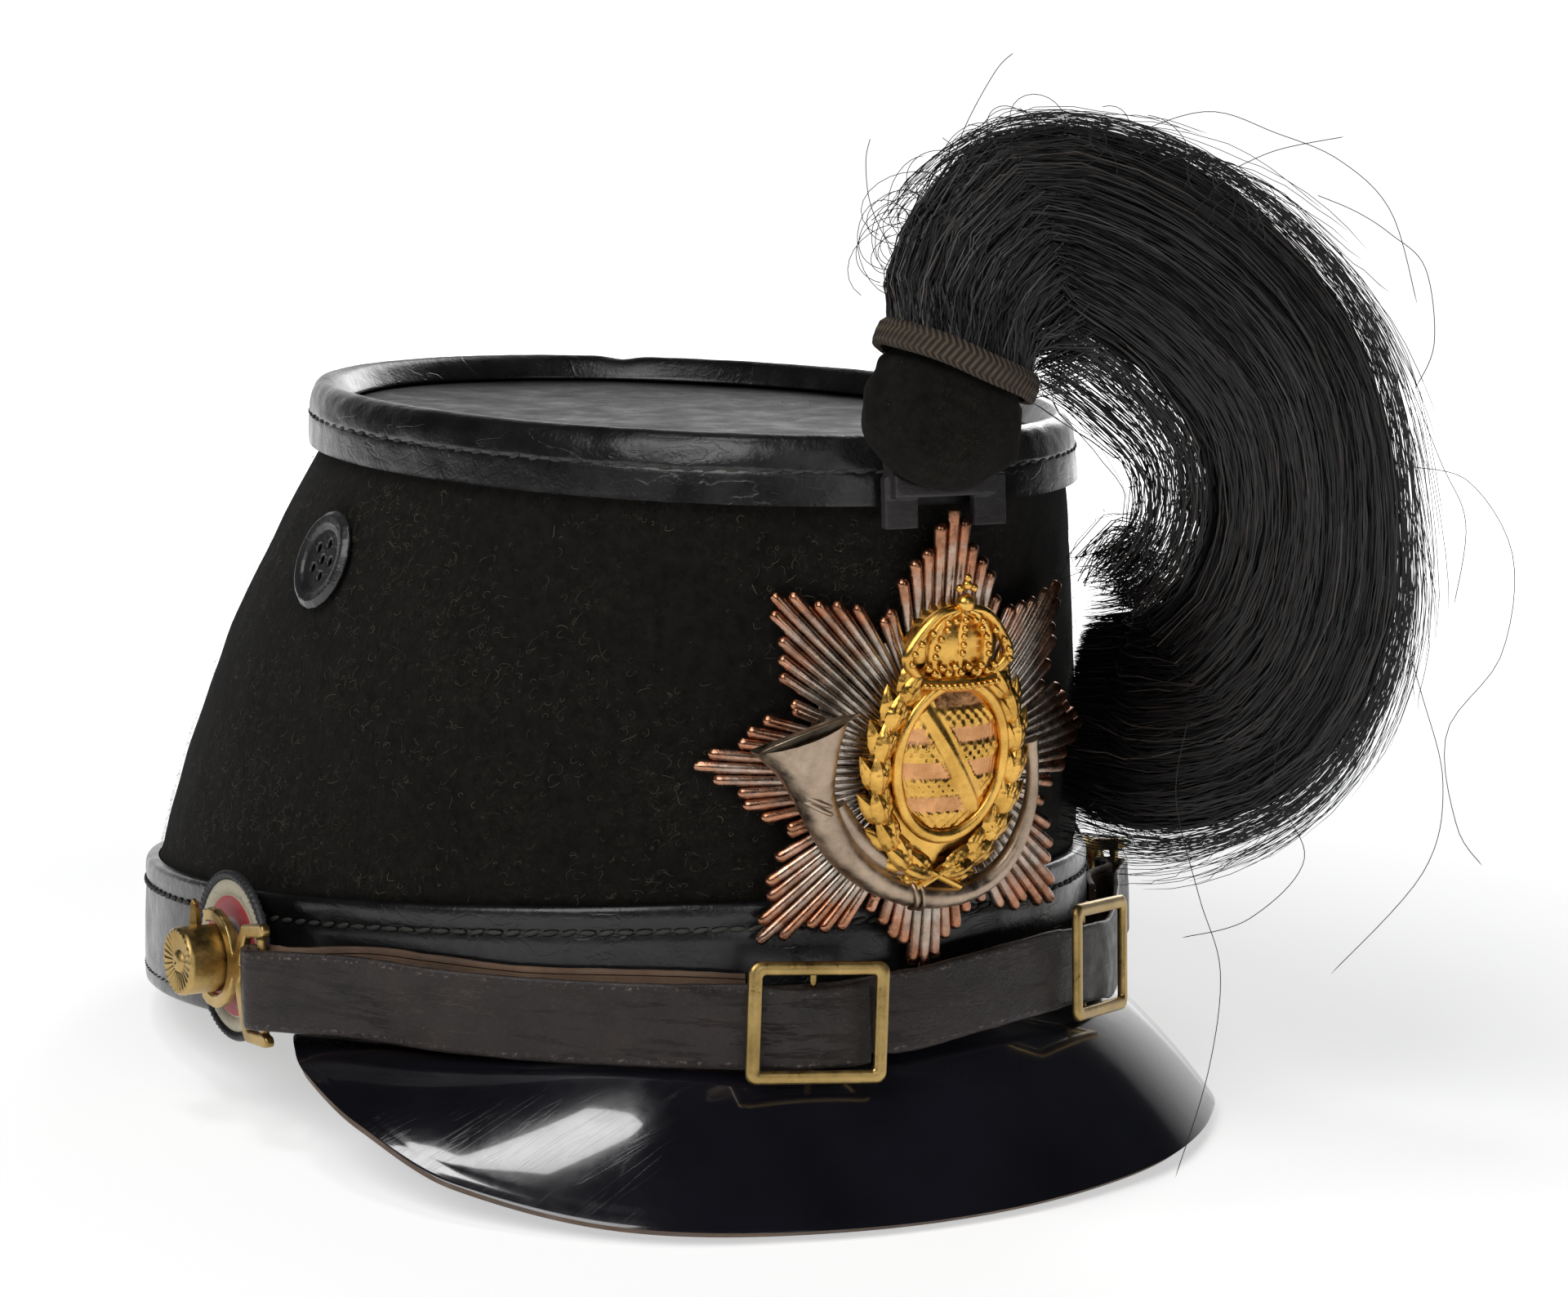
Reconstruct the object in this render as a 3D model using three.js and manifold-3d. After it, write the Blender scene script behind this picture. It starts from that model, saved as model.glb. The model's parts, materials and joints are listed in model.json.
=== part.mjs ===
// Military shako with cloth body, leather bands, peak, chin strap, badge and hair plume.
// Millimetres. In the hat's own frame the head opening is centred on the origin, +X is the
// wearer's left, -Y the front and +Z up; the finished hat is tipped back onto its peak.
import * as THREE from "three";
import { mergeVertices } from "three/addons/utils/BufferGeometryUtils.js";
import Module from "manifold-3d";

const wasm = await Module();
wasm.setup();
const rad = THREE.MathUtils.degToRad;
const lerp = THREE.MathUtils.lerp;

// Driving sizes
const RIM_A = 103.8; // half length of the lower band at its bottom edge
const RIM_B = 87.1; // half width there
const LEDGE_A = 102.6; // the same at the band's top edge
const LEDGE_B = 87.0;
const LEDGE_Y = -2.2;
const BAND_H = 23.9;
const TOP_A = 86.8; // half length at the lower edge of the top band
const TOP_B = 64.6;
const TOP_Y = -36.3;
const TOP_H = 99.4;
const TOP_RISE = Math.tan(rad(5.3)); // the top plane rises towards the back
const GAP = 0.3;
const WALL = 2.4; // cloth on leather
const BAND_T = 2.3;
const PEAK_T = 2.3;
const AROUND = 40;
const TIP_OUT = 21.1; // peak tip, outward of the rim
const TIP_DROP = 31.8; // and below it

// Small tables, one named column each. Angles are degrees from the front.
const PEAK = {
  // edge of the peak; its left half is bent down a little more than its right
  angle: [0, 15, 30, 45, 54, 62, 66.5, 69.5],
  out: [TIP_OUT, 22.3, 25.2, 24.7, 22.0, 14.8, 7.2, 2.0],
  drop: [TIP_DROP, 31.1, 28.7, 21.8, 12.8, 5.8, 3.7, 2.9],
  outLeft: [TIP_OUT, 22.2, 25.0, 24.6, 18.4, 9.6, 4.6, 1.6],
  dropLeft: [TIP_DROP, 31.1, 29.1, 26.4, 20.6, 12.0, 6.8, 4.2],
};
const BODY = {
  share: [0.05, 0.2, 0.38, 0.56, 0.76, 1],
};
const RING = {
  // cross-section of the top band: out from the body, up from its lower edge
  out: [0.5, 0.4, -0.3, -1.2, -2.9, -4.9, -7.2, -5.6, -2.9, -1.6, -1.5],
  up: [0, 5.0, 9.0, 11.0, 11.8, 11.0, 7.6, 7.1, 9.3, 5.0, 0],
};

// Base curves
function rimPoint(deg, z, out) {
  const s = z / BAND_H;
  const t = rad(deg);
  const A = lerp(RIM_A, LEDGE_A, s) + out;
  const B = lerp(RIM_B, LEDGE_B, s) + out;
  return [-B * Math.sin(t), s * LEDGE_Y - A * Math.cos(t), z];
}

function sideShare(deg) {
  const a = Math.abs(((deg + 540) % 360) - 180);
  return THREE.MathUtils.smoothstep(a, 55, 115);
}

function bodyPoint(deg, s, out, up = 0) {
  const t = rad(deg);
  const back = sideShare(deg);
  const swell = 4 * s * (1 - s);
  const set = lerp(lerp(1.8, 3.0, back), lerp(2.0, 2.4, back), s);
  const bend = lerp(0.9, 3.9, back) * swell - set + out;
  const A = lerp(LEDGE_A, TOP_A, s) + bend;
  const B = lerp(LEDGE_B, TOP_B, s) + bend;
  const y0 = lerp(LEDGE_Y, TOP_Y, s);
  const y = y0 - A * Math.cos(t);
  return [-B * Math.sin(t), y, lerp(BAND_H, TOP_H, s) + s * TOP_RISE * (y - y0) + up];
}

function topPoint(deg, out, up) {
  const t = rad(deg);
  const y = TOP_Y - (TOP_A + out) * Math.cos(t);
  return [-(TOP_B + out) * Math.sin(t), y, TOP_H + up + TOP_RISE * (y - TOP_Y)];
}

// Solids from rings of points
function solid(points, faces) {
  const flat = new Float32Array(points.flat());
  const make = (tri) =>
    new wasm.Manifold(
      new wasm.Mesh({ numProp: 3, vertProperties: flat, triVerts: new Uint32Array(tri.flat()) }),
    );
  const made = make(faces);
  return made.volume() < 0 ? make(faces.map(([a, b, c]) => [a, c, b])) : made;
}

function loft(rings, looped = false) {
  const n = rings[0].length;
  const faces = [];
  const last = looped ? rings.length : rings.length - 1;
  for (let i = 0; i < last; i++) {
    const a = i * n;
    const b = ((i + 1) % rings.length) * n;
    for (let j = 0; j < n; j++) {
      const k = (j + 1) % n;
      faces.push([a + j, a + k, b + k], [a + j, b + k, b + j]);
    }
  }
  const points = rings.flat();
  if (!looped) {
    for (const [base, turn] of [
      [0, 1],
      [(rings.length - 1) * n, 0],
    ]) {
      if (n < 9) {
        for (let j = 1; j < n - 1; j++)
          faces.push(turn ? [base, base + j + 1, base + j] : [base, base + j, base + j + 1]);
        continue;
      }
      const ring = points.slice(base, base + n);
      const mid = [0, 1, 2].map((c) => ring.reduce((s, p) => s + p[c], 0) / n);
      const m = points.push(mid) - 1;
      for (let j = 0; j < n; j++) {
        const k = (j + 1) % n;
        faces.push(turn ? [m, base + k, base + j] : [m, base + j, base + k]);
      }
    }
  }
  return solid(points, faces);
}

const angles = Array.from({ length: AROUND }, (_, i) => (i * 360) / AROUND);
const hoop = (f) => angles.map((deg) => f(deg));

function fromGeometry(geometry) {
  const g = geometry.clone();
  g.deleteAttribute("normal");
  g.deleteAttribute("uv");
  const merged = mergeVertices(g, 1e-4);
  return new wasm.Manifold(
    new wasm.Mesh({
      numProp: 3,
      vertProperties: new Float32Array(merged.attributes.position.array),
      triVerts: new Uint32Array(merged.index.array),
    }),
  );
}

const union = (list) => list.reduce((a, b) => a.add(b));

// Largest closed body of a solid: drops islands, and fills pockets between fused pieces.
const largest = (m) => m.decompose().sort((a, b) => b.volume() - a.volume())[0];

// Value of a table column at an angle, by a smooth curve through its rows.
function smooth(xs, ys, x) {
  const n = xs.length;
  if (x <= xs[0]) return ys[0];
  if (x >= xs[n - 1]) return ys[n - 1];
  const slope = (i) => {
    if (i <= 0 || i >= n - 1) return 0;
    const a = (ys[i] - ys[i - 1]) / (xs[i] - xs[i - 1]);
    const b = (ys[i + 1] - ys[i]) / (xs[i + 1] - xs[i]);
    return a * b <= 0 ? 0 : (2 * a * b) / (a + b);
  };
  let i = 0;
  while (x > xs[i + 1]) i++;
  const h = xs[i + 1] - xs[i];
  const t = (x - xs[i]) / h;
  const end = i === n - 2 ? (ys[n - 1] - ys[n - 2]) / h : slope(i + 1);
  return (
    (2 * t ** 3 - 3 * t ** 2 + 1) * ys[i] +
    (t ** 3 - 2 * t ** 2 + t) * h * slope(i) +
    (-2 * t ** 3 + 3 * t ** 2) * ys[i + 1] +
    (t ** 3 - t ** 2) * h * end
  );
}

// Frame on the band: centre point, unit vectors outward, along the band and up.
function bandFrame(deg, z, out, turn = 0) {
  const t = rad(deg);
  const n = new THREE.Vector3(-Math.sin(t) / RIM_B, -Math.cos(t) / RIM_A, 0).normalize();
  n.applyAxisAngle(new THREE.Vector3(0, 0, 1), rad(turn));
  const side = new THREE.Vector3().crossVectors(new THREE.Vector3(0, 0, 1), n).normalize();
  const base = new THREE.Vector3(...rimPoint(deg, z, 0)).addScaledVector(n, out);
  return { base, n, side, up: new THREE.Vector3(0, 0, 1) };
}

function framed(manifold, f) {
  // local x runs along side, y up, z outward
  const m = new THREE.Matrix4().makeBasis(f.side, f.up, f.n).setPosition(f.base);
  return manifold.transform(Array.from(m.elements));
}

function bodyShell() {
  const rows = [];
  for (const [z, out] of [
    [0.6, -BAND_T - GAP],
    [BAND_H, -BAND_T - GAP],
  ])
    rows.push(hoop((d) => rimPoint(d, z, out)));
  for (const s of BODY.share) rows.push(hoop((d) => bodyPoint(d, s, 0)));
  rows.push(hoop((d) => topPoint(d, -2.2, 4.3)));
  rows.push(hoop((d) => topPoint(d, -2.2 - WALL, 4.3)));
  for (const s of [1, 0.56, 0.2, 0.05]) rows.push(hoop((d) => bodyPoint(d, s, -WALL)));
  rows.push(hoop((d) => rimPoint(d, 0.6, -BAND_T - GAP - WALL)));
  return loft(rows, true);
}

function lowerBand() {
  const rows = [
    [0, -0.9],
    [0.9, 0],
    [BAND_H - 0.9, 0],
    [BAND_H, -0.9],
    [BAND_H, -BAND_T],
    [0, -BAND_T],
  ];
  return loft(rows.map(([z, out]) => hoop((d) => rimPoint(d, z, out))), true);
}

function topBand() {
  return loft(RING.out.map((out, i) => hoop((d) => topPoint(d, out, RING.up[i]))), true);
}

function topDisc() {
  // the middle stands a little above the edge that the ring grips
  const grip = Math.min(...RING.out) - 0.4;
  const rows = [
    [-3.0, 4.6],
    [-3.0, 6.5],
    [grip, 6.5],
    [grip, 6.8],
  ];
  return loft(rows.map(([out, up]) => hoop((d) => topPoint(d, out, up))));
}

function peakSurface(deg, u) {
  // u 0 at the rim, 1 at the edge; returns out and drop of the upper face
  const a = Math.abs(deg);
  const w = smooth(PEAK.angle, deg < 0 ? PEAK.outLeft : PEAK.out, a);
  const low = smooth(PEAK.angle, deg < 0 ? PEAK.dropLeft : PEAK.drop, a);
  const d = Math.max(low - 1.9, 0.9);
  const swell = 1.4 * Math.min(1, w / 20) * 4 * u * (1 - u);
  const len = Math.hypot(w, d);
  return [w * u + (swell * d) / len, 0.3 + (d - 0.3) * u - (swell * w) / len];
}

function peakColumn(deg) {
  const a = Math.abs(deg);
  const w = smooth(PEAK.angle, deg < 0 ? PEAK.outLeft : PEAK.out, a);
  const low = smooth(PEAK.angle, deg < 0 ? PEAK.dropLeft : PEAK.drop, a);
  const steep = Math.atan2(low - 1.9, w);
  const off = [PEAK_T * Math.sin(steep), PEAK_T * Math.cos(steep)];
  const upper = [0, 0.25, 0.5, 0.75, 1].map((u) => peakSurface(deg, u));
  const under = [1, 0.66, 0.33].map((u) => {
    const [o, d] = peakSurface(deg, u);
    return [o - off[0] - (u === 1 ? 0.2 : 0), Math.max(d + off[1], 0.3 + PEAK_T * 0.9)];
  });
  const loop = [[-4.8, 0.3], ...upper, ...under, [-1.6, 0.3 + PEAK_T], [-4.8, 0.3 + 1.8]];
  return loop.map(([o, d]) => {
    const [x, y] = rimPoint(deg, 0, o);
    return [x, y, -d];
  });
}

function peak() {
  const list = [];
  for (let i = -16; i <= 16; i++) list.push(peakColumn((i / 16) * 69.5));
  return loft(list);
}

// Side fittings stand on one axis, turned a little towards the back
const POST_DEG = 78.1;
const POST_Z = 12.2;
const POST_TURN = -9;

function byPost(along, out) {
  const f = bandFrame(POST_DEG, 0, 0, POST_TURN);
  return [f.base.x + f.side.x * along + f.n.x * out, f.base.y + f.side.y * along + f.n.y * out];
}

const byBand = (deg, out) => rimPoint(deg, 0, out).slice(0, 2);

// Chin strap: stations run along its path, [plan point, upper edge, lower edge]
const STRAP_T = 1.4;

function ribbon(stations, mirror) {
  const rings = stations.map(([at, top, low], i) => {
    const a = stations[Math.max(i - 1, 0)][0];
    const b = stations[Math.min(i + 1, stations.length - 1)][0];
    const len = Math.hypot(b[0] - a[0], b[1] - a[1]);
    const n = [(-(b[1] - a[1]) / len) * STRAP_T * 0.5, ((b[0] - a[0]) / len) * STRAP_T * 0.5];
    const m = mirror ? -1 : 1;
    return [
      [1, top],
      [1, low],
      [-1, low],
      [-1, top],
    ].map(([k, z]) => [m * (at[0] + n[0] * k), at[1] + n[1] * k, z]);
  });
  return loft(rings);
}

// round the lug: back layer, turn, front layer
const STRAP_FOLD = [
  [byPost(26, 1.4), 16.2, 2.0],
  [byPost(21, 4.1), 16.4, 2.0],
  [byPost(18.2, 4.6), 16.3, 2.0],
  [byPost(16.6, 5.3), 16.2, 1.9],
  [byPost(15.9, 6.5), 16.1, 1.9],
  [byPost(16.6, 7.7), 16.1, 1.8],
  [byPost(18.2, 8.4), 16.0, 1.8],
  [byPost(22, 8.1), 15.9, 1.7],
];
const STRAP_RIGHT = [
  [byBand(17.8, 2.6), 11.8, 1.4],
  [byBand(24, 2.1), 12.7, 1.4],
  [byBand(31, 1.9), 13.3, 1.4],
  [byBand(41, 1.9), 13.8, 1.4],
  [byBand(51, 1.9), 15.3, 1.6],
  [byBand(58.5, 2.1), 16.2, 1.8],
  ...STRAP_FOLD,
  [byBand(60.2, 8.6), 15.6, 1.1],
  [byBand(55, 7.3), 14.8, 0.3],
  [byBand(50, 6.3), 13.7, -0.7],
  [byBand(41, 5.2), 12.5, -2.0],
  [byBand(31, 5.2), 11.5, -2.9],
  [byBand(25, 5.9), 11.1, -3.4],
  [byBand(19.6, 6.9), 10.9, -3.9],
  [byBand(16.4, 7.5), 10.3, -4.4],
  [byBand(13.6, 7.9), 9.6, -4.7],
  [byBand(10.5, 7.9), 9.4, -4.6],
  [byBand(7.6, 7.6), 9.6, -4.8],
  [byBand(5.2, 7.0), 9.9, -4.6],
];
// the plain side starts the same, then holds the far buckle and runs on to the near one
const STRAP_LEFT = [
  [byBand(52, 1.9), 15.2, 1.6],
  [byBand(58.5, 2.1), 16.2, 1.8],
  ...STRAP_FOLD,
  [byBand(61, 8.4), 15.4, 0.9],
  [byBand(55, 7.0), 14.4, 0.2],
  [byBand(48, 6.2), 12.8, -1.4],
  [byBand(43, 6.4), 12.0, -2.6],
  [byBand(38.6, 6.8), 11.8, -2.9],
  [byBand(35.4, 7.5), 12.2, -2.1],
  [byBand(32, 7.9), 12.8, -1.3],
  [byBand(28.2, 7.9), 13.1, -1.0],
  [byBand(24.6, 7.4), 13.2, -0.6],
  [byBand(21.6, 6.9), 13.5, -0.9],
  [byBand(15, 6.4), 13.0, -1.3],
  [byBand(8, 6.2), 12.1, -2.1],
  [byBand(2, 6.2), 11.1, -3.2],
  [byBand(-2.2, 6.0), 10.7, -3.5],
  [byBand(-5.6, 5.0), 10.0, -2.6],
  [byBand(-9.5, 4.2), 9.6, -0.6],
  [byBand(-15.5, 4.0), 9.6, 0.6],
];

// Rounded outline as a three.js shape
function roundRect(w, h, r, hole) {
  const s = new THREE.Shape();
  const draw = (p, a, b, c) => {
    const steps = 2;
    for (let q = 0; q < 4; q++) {
      const cx = (q === 0 || q === 3 ? 1 : -1) * (a / 2 - c);
      const cy = (q < 2 ? 1 : -1) * (b / 2 - c);
      for (let k = 0; k <= steps; k++) {
        const t = ((q + k / steps) * Math.PI) / 2;
        const x = cx + c * Math.cos(t);
        const y = cy + c * Math.sin(t);
        if (q === 0 && k === 0) p.moveTo(x, y);
        else p.lineTo(x, y);
      }
    }
    p.closePath();
  };
  draw(s, w, h, r);
  if (hole) {
    const p = new THREE.Path();
    draw(p, hole[0], hole[1], hole[2]);
    s.holes.push(p);
  }
  return s;
}

const slab = (shape, depth, curve = 6) =>
  fromGeometry(
    new THREE.ExtrudeGeometry(shape, { depth, bevelEnabled: false, curveSegments: curve }),
  );

function bar(x0, y0, x1, y1, w, depth) {
  const len = Math.hypot(x1 - x0, y1 - y0);
  return slab(roundRect(len + w, w, w / 2 - 0.01), depth)
    .rotate([0, 0, (Math.atan2(y1 - y0, x1 - x0) * 180) / Math.PI])
    .translate([(x0 + x1) / 2, (y0 + y1) / 2, 0]);
}

function buckle(deg, z, out, roll) {
  const frame = union([
    slab(roundRect(25.2, 21, 2.0, [20.4, 16.4, 0.6]), 1.0),
    slab(roundRect(24.2, 20, 1.6, [21.2, 17.2, 0.8]), 0.5).translate([0, 0, 0.95]),
  ]);
  // cross bar behind the leather, out of sight
  const hidden = bar(0, -9.2, 0, 9.7, 1.3, 0.8).translate([0, 0, -3.1]);
  const ties = [-9.3, 9.65].map((y) => bar(0, y, 0, y + 0.1, 1.3, 3.4).translate([0, 0, -3.1]));
  const at = bandFrame(deg, 0, out);
  at.base.z += z;
  return framed(union([frame, hidden, ...ties]).rotate([0, 0, roll]), at);
}

function lathe(points, segments) {
  const g = new THREE.LatheGeometry(
    points.map(([x, y]) => new THREE.Vector2(x, y)),
    segments,
  );
  g.rotateX(Math.PI / 2);
  return fromGeometry(g);
}

const atPost = (out) => bandFrame(POST_DEG, POST_Z, out, POST_TURN);

function cockade() {
  const made = lathe(
    [
      [0, 0],
      [13.6, 0],
      [15.5, 0.6],
      [15.0, 1.5],
      [13.4, 1.1],
      [9.0, 1.6],
      [0, 1.6],
    ],
    26,
  );
  return framed(made, atPost(1.8));
}

function post() {
  const made = lathe(
    [
      [0, 0],
      [6.0, 0],
      [6.1, 9.9],
      [5.6, 10.4],
      [1.9, 10.0],
      [1.3, 10.6],
      [0, 10.7],
    ],
    20,
  );
  const prong = new THREE.BoxGeometry(1.4, 5.6, 2.4).translate(-1.6, 7.9, 5.6);
  return framed(made.add(fromGeometry(prong)), atPost(3.8));
}

function lug() {
  const t = 1.7;
  const ring = new THREE.Shape();
  ring.absarc(0, 0, 9.1, rad(-124), rad(112), false);
  ring.absarc(0, 0, 6.75, rad(112), rad(-124), true);
  ring.closePath();
  const made = union([
    slab(ring, t, 7),
    bar(9.1, -0.5, 10.6, -1.2, 4.4, t),
    bar(10.6, 0.2, 14.0, 6.3, 2.4, t),
    bar(14.0, 6.3, 21.4, 7.0, 2.4, t),
    bar(10.4, -2.4, 12.2, -9.0, 2.2, t),
    bar(12.2, -9.0, 13.8, -12.5, 2.2, t),
    bar(13.8, -12.5, 21.4, -12.6, 2.2, t),
    bar(20.0, 6.4, 20.0, -12.4, 1.8, 1.2).translate([0, 0, 0.1]),
  ]);
  return framed(made, atPost(5.65));
}

const VENT = [90.3, 0.774];

function vent() {
  const disc = lathe(
    [
      [0, 0],
      [8.9, 0],
      [9.4, 0.6],
      [8.2, 1.7],
      [6.6, 1.5],
      [5.8, 0.8],
      [0, 0.8],
    ],
    18,
  );
  const holes = [[0, 0]];
  for (let i = 0; i < 5; i++) holes.push([3.2 * Math.cos(rad(72 * i + 90)), 3.2 * Math.sin(rad(72 * i + 90))]);
  const punch = fromGeometry(new THREE.CylinderGeometry(0.95, 0.95, 4, 6)).rotate([90, 0, 0]);
  const pierced = holes.reduce((m, [x, y]) => m.subtract(punch.translate([x, y, 0.5])), disc);
  const at = (d, s) => new THREE.Vector3(...bodyPoint(d, s, 0));
  const up = at(VENT[0], 0.82).sub(at(VENT[0], 0.73)).normalize();
  const along = at(VENT[0] - 2, VENT[1]).sub(at(VENT[0] + 2, VENT[1])).normalize();
  const n = new THREE.Vector3().crossVectors(along, up).normalize();
  const side = new THREE.Vector3().crossVectors(up, n).normalize();
  return framed(pierced, { base: at(...VENT).addScaledVector(n, 0.7), n, side, up });
}

// Badge: u across, v up the star's plane, w outward. The plate is bent round the hat.
const BADGE_MID = 2.6;
const BEND_R = 400;
const STAR_MID = [3.6, 39.0];
const STAR_R = [45.2, 43.5, 42.2, 42.9, 38.9, 44.4, 40.4, 39.4];
const STAR_TURN = 2.0;
const STAR_DISC = 24;
const CONE_R = 62; // the star is bent round a cone, as the body is one
const CONE_LEAN = 0.44;
const FOOT = new THREE.Vector3(0, LEDGE_Y - LEDGE_A - 0.6, 9);
const RISE = new THREE.Vector3(0, TOP_Y - TOP_A - 1.4, TOP_H - 7.4).sub(FOOT).normalize();
const FACE = new THREE.Vector3(0, -RISE.z, RISE.y);

function badgePoint(u, v, w) {
  const p = FOOT.clone().addScaledVector(RISE, v);
  const a = (u - BADGE_MID) / BEND_R;
  p.x += BADGE_MID + Math.sin(a) * (BEND_R + w);
  p.addScaledVector(FACE, Math.cos(a) * (BEND_R + w) - BEND_R);
  return p.toArray();
}

// Place on the star, across and up from its middle
function starPoint(across, up, w) {
  const [c, s] = [Math.cos(CONE_LEAN), Math.sin(CONE_LEAN)];
  const apex = CONE_R * (c / s);
  const reach = Math.hypot(across, apex - up);
  const turn = Math.atan2(across, apex - up) / s;
  const down = RISE.clone().multiplyScalar(-c).addScaledVector(FACE, -s);
  const front = RISE.clone().multiplyScalar(-s).addScaledVector(FACE, c);
  const p = FOOT.clone().addScaledVector(RISE, STAR_MID[1] + apex);
  p.x = STAR_MID[0];
  const r = reach * s + w * c;
  p.addScaledVector(down, reach * c - w * s).addScaledVector(front, r * Math.cos(turn));
  p.x += r * Math.sin(turn);
  return p.toArray();
}

// Tapering rod with a flat back, between two places on the star.
function rod(a, b, r0, r1, w0, tip = false, on = badgePoint) {
  const len = Math.hypot(b[0] - a[0], b[1] - a[1]);
  const side = [-(b[1] - a[1]) / len, (b[0] - a[0]) / len];
  const rows = tip ? [[0, r0], [0.5, lerp(r0, r1, 0.5)], [0.95, r1], [1, r1 * 0.4]] : [[0, r0], [1, r1]];
  const rings = rows.map(([t, r]) => {
    const c = [lerp(a[0], b[0], t), lerp(a[1], b[1], t)];
    return [
      [-1, 0],
      [-0.55, 1],
      [0.55, 1],
      [1, 0],
    ].map(([k, h]) => on(c[0] + side[0] * k * r, c[1] + side[1] * k * r, w0 + h * r));
  });
  return loft(rings);
}

function star() {
  const disc = [-0.99, -0.85, -0.6, -0.3, 0, 0.3, 0.6, 0.85, 0.99].map((k) => {
    const [u, v] = [STAR_DISC * k, STAR_DISC * Math.sqrt(1 - k * k)];
    return [
      [-v, 0],
      [v, 0],
      [v, 0.9],
      [-v, 0.9],
    ].map(([up, w]) => starPoint(u, up, w));
  });
  const parts = [loft(disc)];
  const reach = [1, 0.86, 0.7];
  const root = [13, 15, 21];
  for (let p = 0; p < 8; p++) {
    const t = rad(90 + STAR_TURN + p * 45);
    const dir = [Math.cos(t), Math.sin(t)];
    const at = (r, k) => [dir[0] * r - dir[1] * k, dir[1] * r + dir[0] * k];
    for (let k = -2; k <= 2; k++) {
      const n = Math.abs(k);
      parts.push(rod(at(root[n], k * 3.2), at(STAR_R[p] * reach[n], k * 3.9), 1.5, 1.8, 0.3, true, starPoint));
    }
  }
  // studs at the back that seat it on the cloth
  for (const [v, low] of [
    [30, -4.1],
    [55, -2.95],
  ]) {
    const ring = (w) =>
      Array.from({ length: 8 }, (_, i) => badgePoint(1.2 + 2 * Math.cos(rad(i * 45)), v + 2 * Math.sin(rad(i * 45)), w));
    parts.push(loft([ring(low), ring(0.5)]));
  }
  return union(parts);
}

// Hunting horn laid on the star: centre line, half width and height
const HORN = {
  u: [-23.4, -22.2, -21.2, -20.2, -19.0, -16.6, -13.3, -9.0, -4.1, 1.5, 7.1, 12.6, 17.6, 21.2, 23.4, 24.4, 24.0, 22.6],
  v: [46.6, 42.8, 39.6, 36.8, 34.0, 29.6, 25.2, 21.4, 18.4, 16.3, 15.4, 15.8, 17.9, 21.6, 26.6, 32.0, 37.2, 42.4],
  r: [9.2, 6.6, 4.9, 4.0, 3.4, 3.1, 2.9, 2.7, 2.5, 2.4, 2.3, 2.1, 1.9, 1.7, 1.5, 1.3, 1.2, 1.7],
};

function horn(grow = 0) {
  const n = HORN.u.length;
  const rings = HORN.u.map((_, i) => {
    const a = Math.max(i - 1, 0);
    const b = Math.min(i + 1, n - 1);
    const d = [HORN.u[b] - HORN.u[a], HORN.v[b] - HORN.v[a]];
    const len = Math.hypot(...d);
    const s = [-d[1] / len, d[0] / len];
    const r = HORN.r[i] + grow;
    const tall = (i === 0 ? 5.2 : Math.min(r, 4.6)) + grow;
    const end = i === 0 ? -grow : i === n - 1 ? grow : 0;
    const u = HORN.u[i] - 1.4 + (d[0] / len) * end;
    const v = HORN.v[i] + (d[1] / len) * end;
    const list = [];
    for (let k = 0; k <= 6; k++) {
      const t = (k / 6) * Math.PI;
      const x = Math.cos(t);
      list.push(badgePoint(u + s[0] * r * x, v + s[1] * r * x, 2.4 - grow + Math.sin(t) * tall * 1.15));
    }
    return list;
  });
  return loft(rings);
}

// Gilt arms in relief: wreath, shield and crown are one piece
const ARMS = [3.7, 40.5];

function oval(cu, cv, ru, rv, w0, w1, inset, n = 24) {
  const ring = (k, w) =>
    Array.from({ length: n }, (_, i) => {
      const t = (i / n) * 2 * Math.PI;
      return badgePoint(cu + (ru - k) * Math.sin(t), cv + (rv - k) * Math.cos(t), w);
    });
  return loft([ring(0, w0), ring(0, lerp(w0, w1, 0.55)), ring(inset, w1)]);
}

// Leaf: a low pyramid on a lozenge
function leaf(cu, cv, turn, len, wide, w0, tall) {
  const d = [Math.cos(rad(turn)), Math.sin(rad(turn))];
  const at = (a, b, w) => badgePoint(cu + d[0] * a - d[1] * b, cv + d[1] * a + d[0] * b, w);
  const points = [
    at(-len / 2, 0, w0),
    at(-len * 0.1, wide / 2, w0),
    at(len / 2, 0, w0),
    at(-len * 0.1, -wide / 2, w0),
    at(-len * 0.1, 0, w0 + tall),
  ];
  return solid(points, [[0, 1, 4], [1, 2, 4], [2, 3, 4], [3, 0, 4], [0, 2, 1], [0, 3, 2]]);
}

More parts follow.
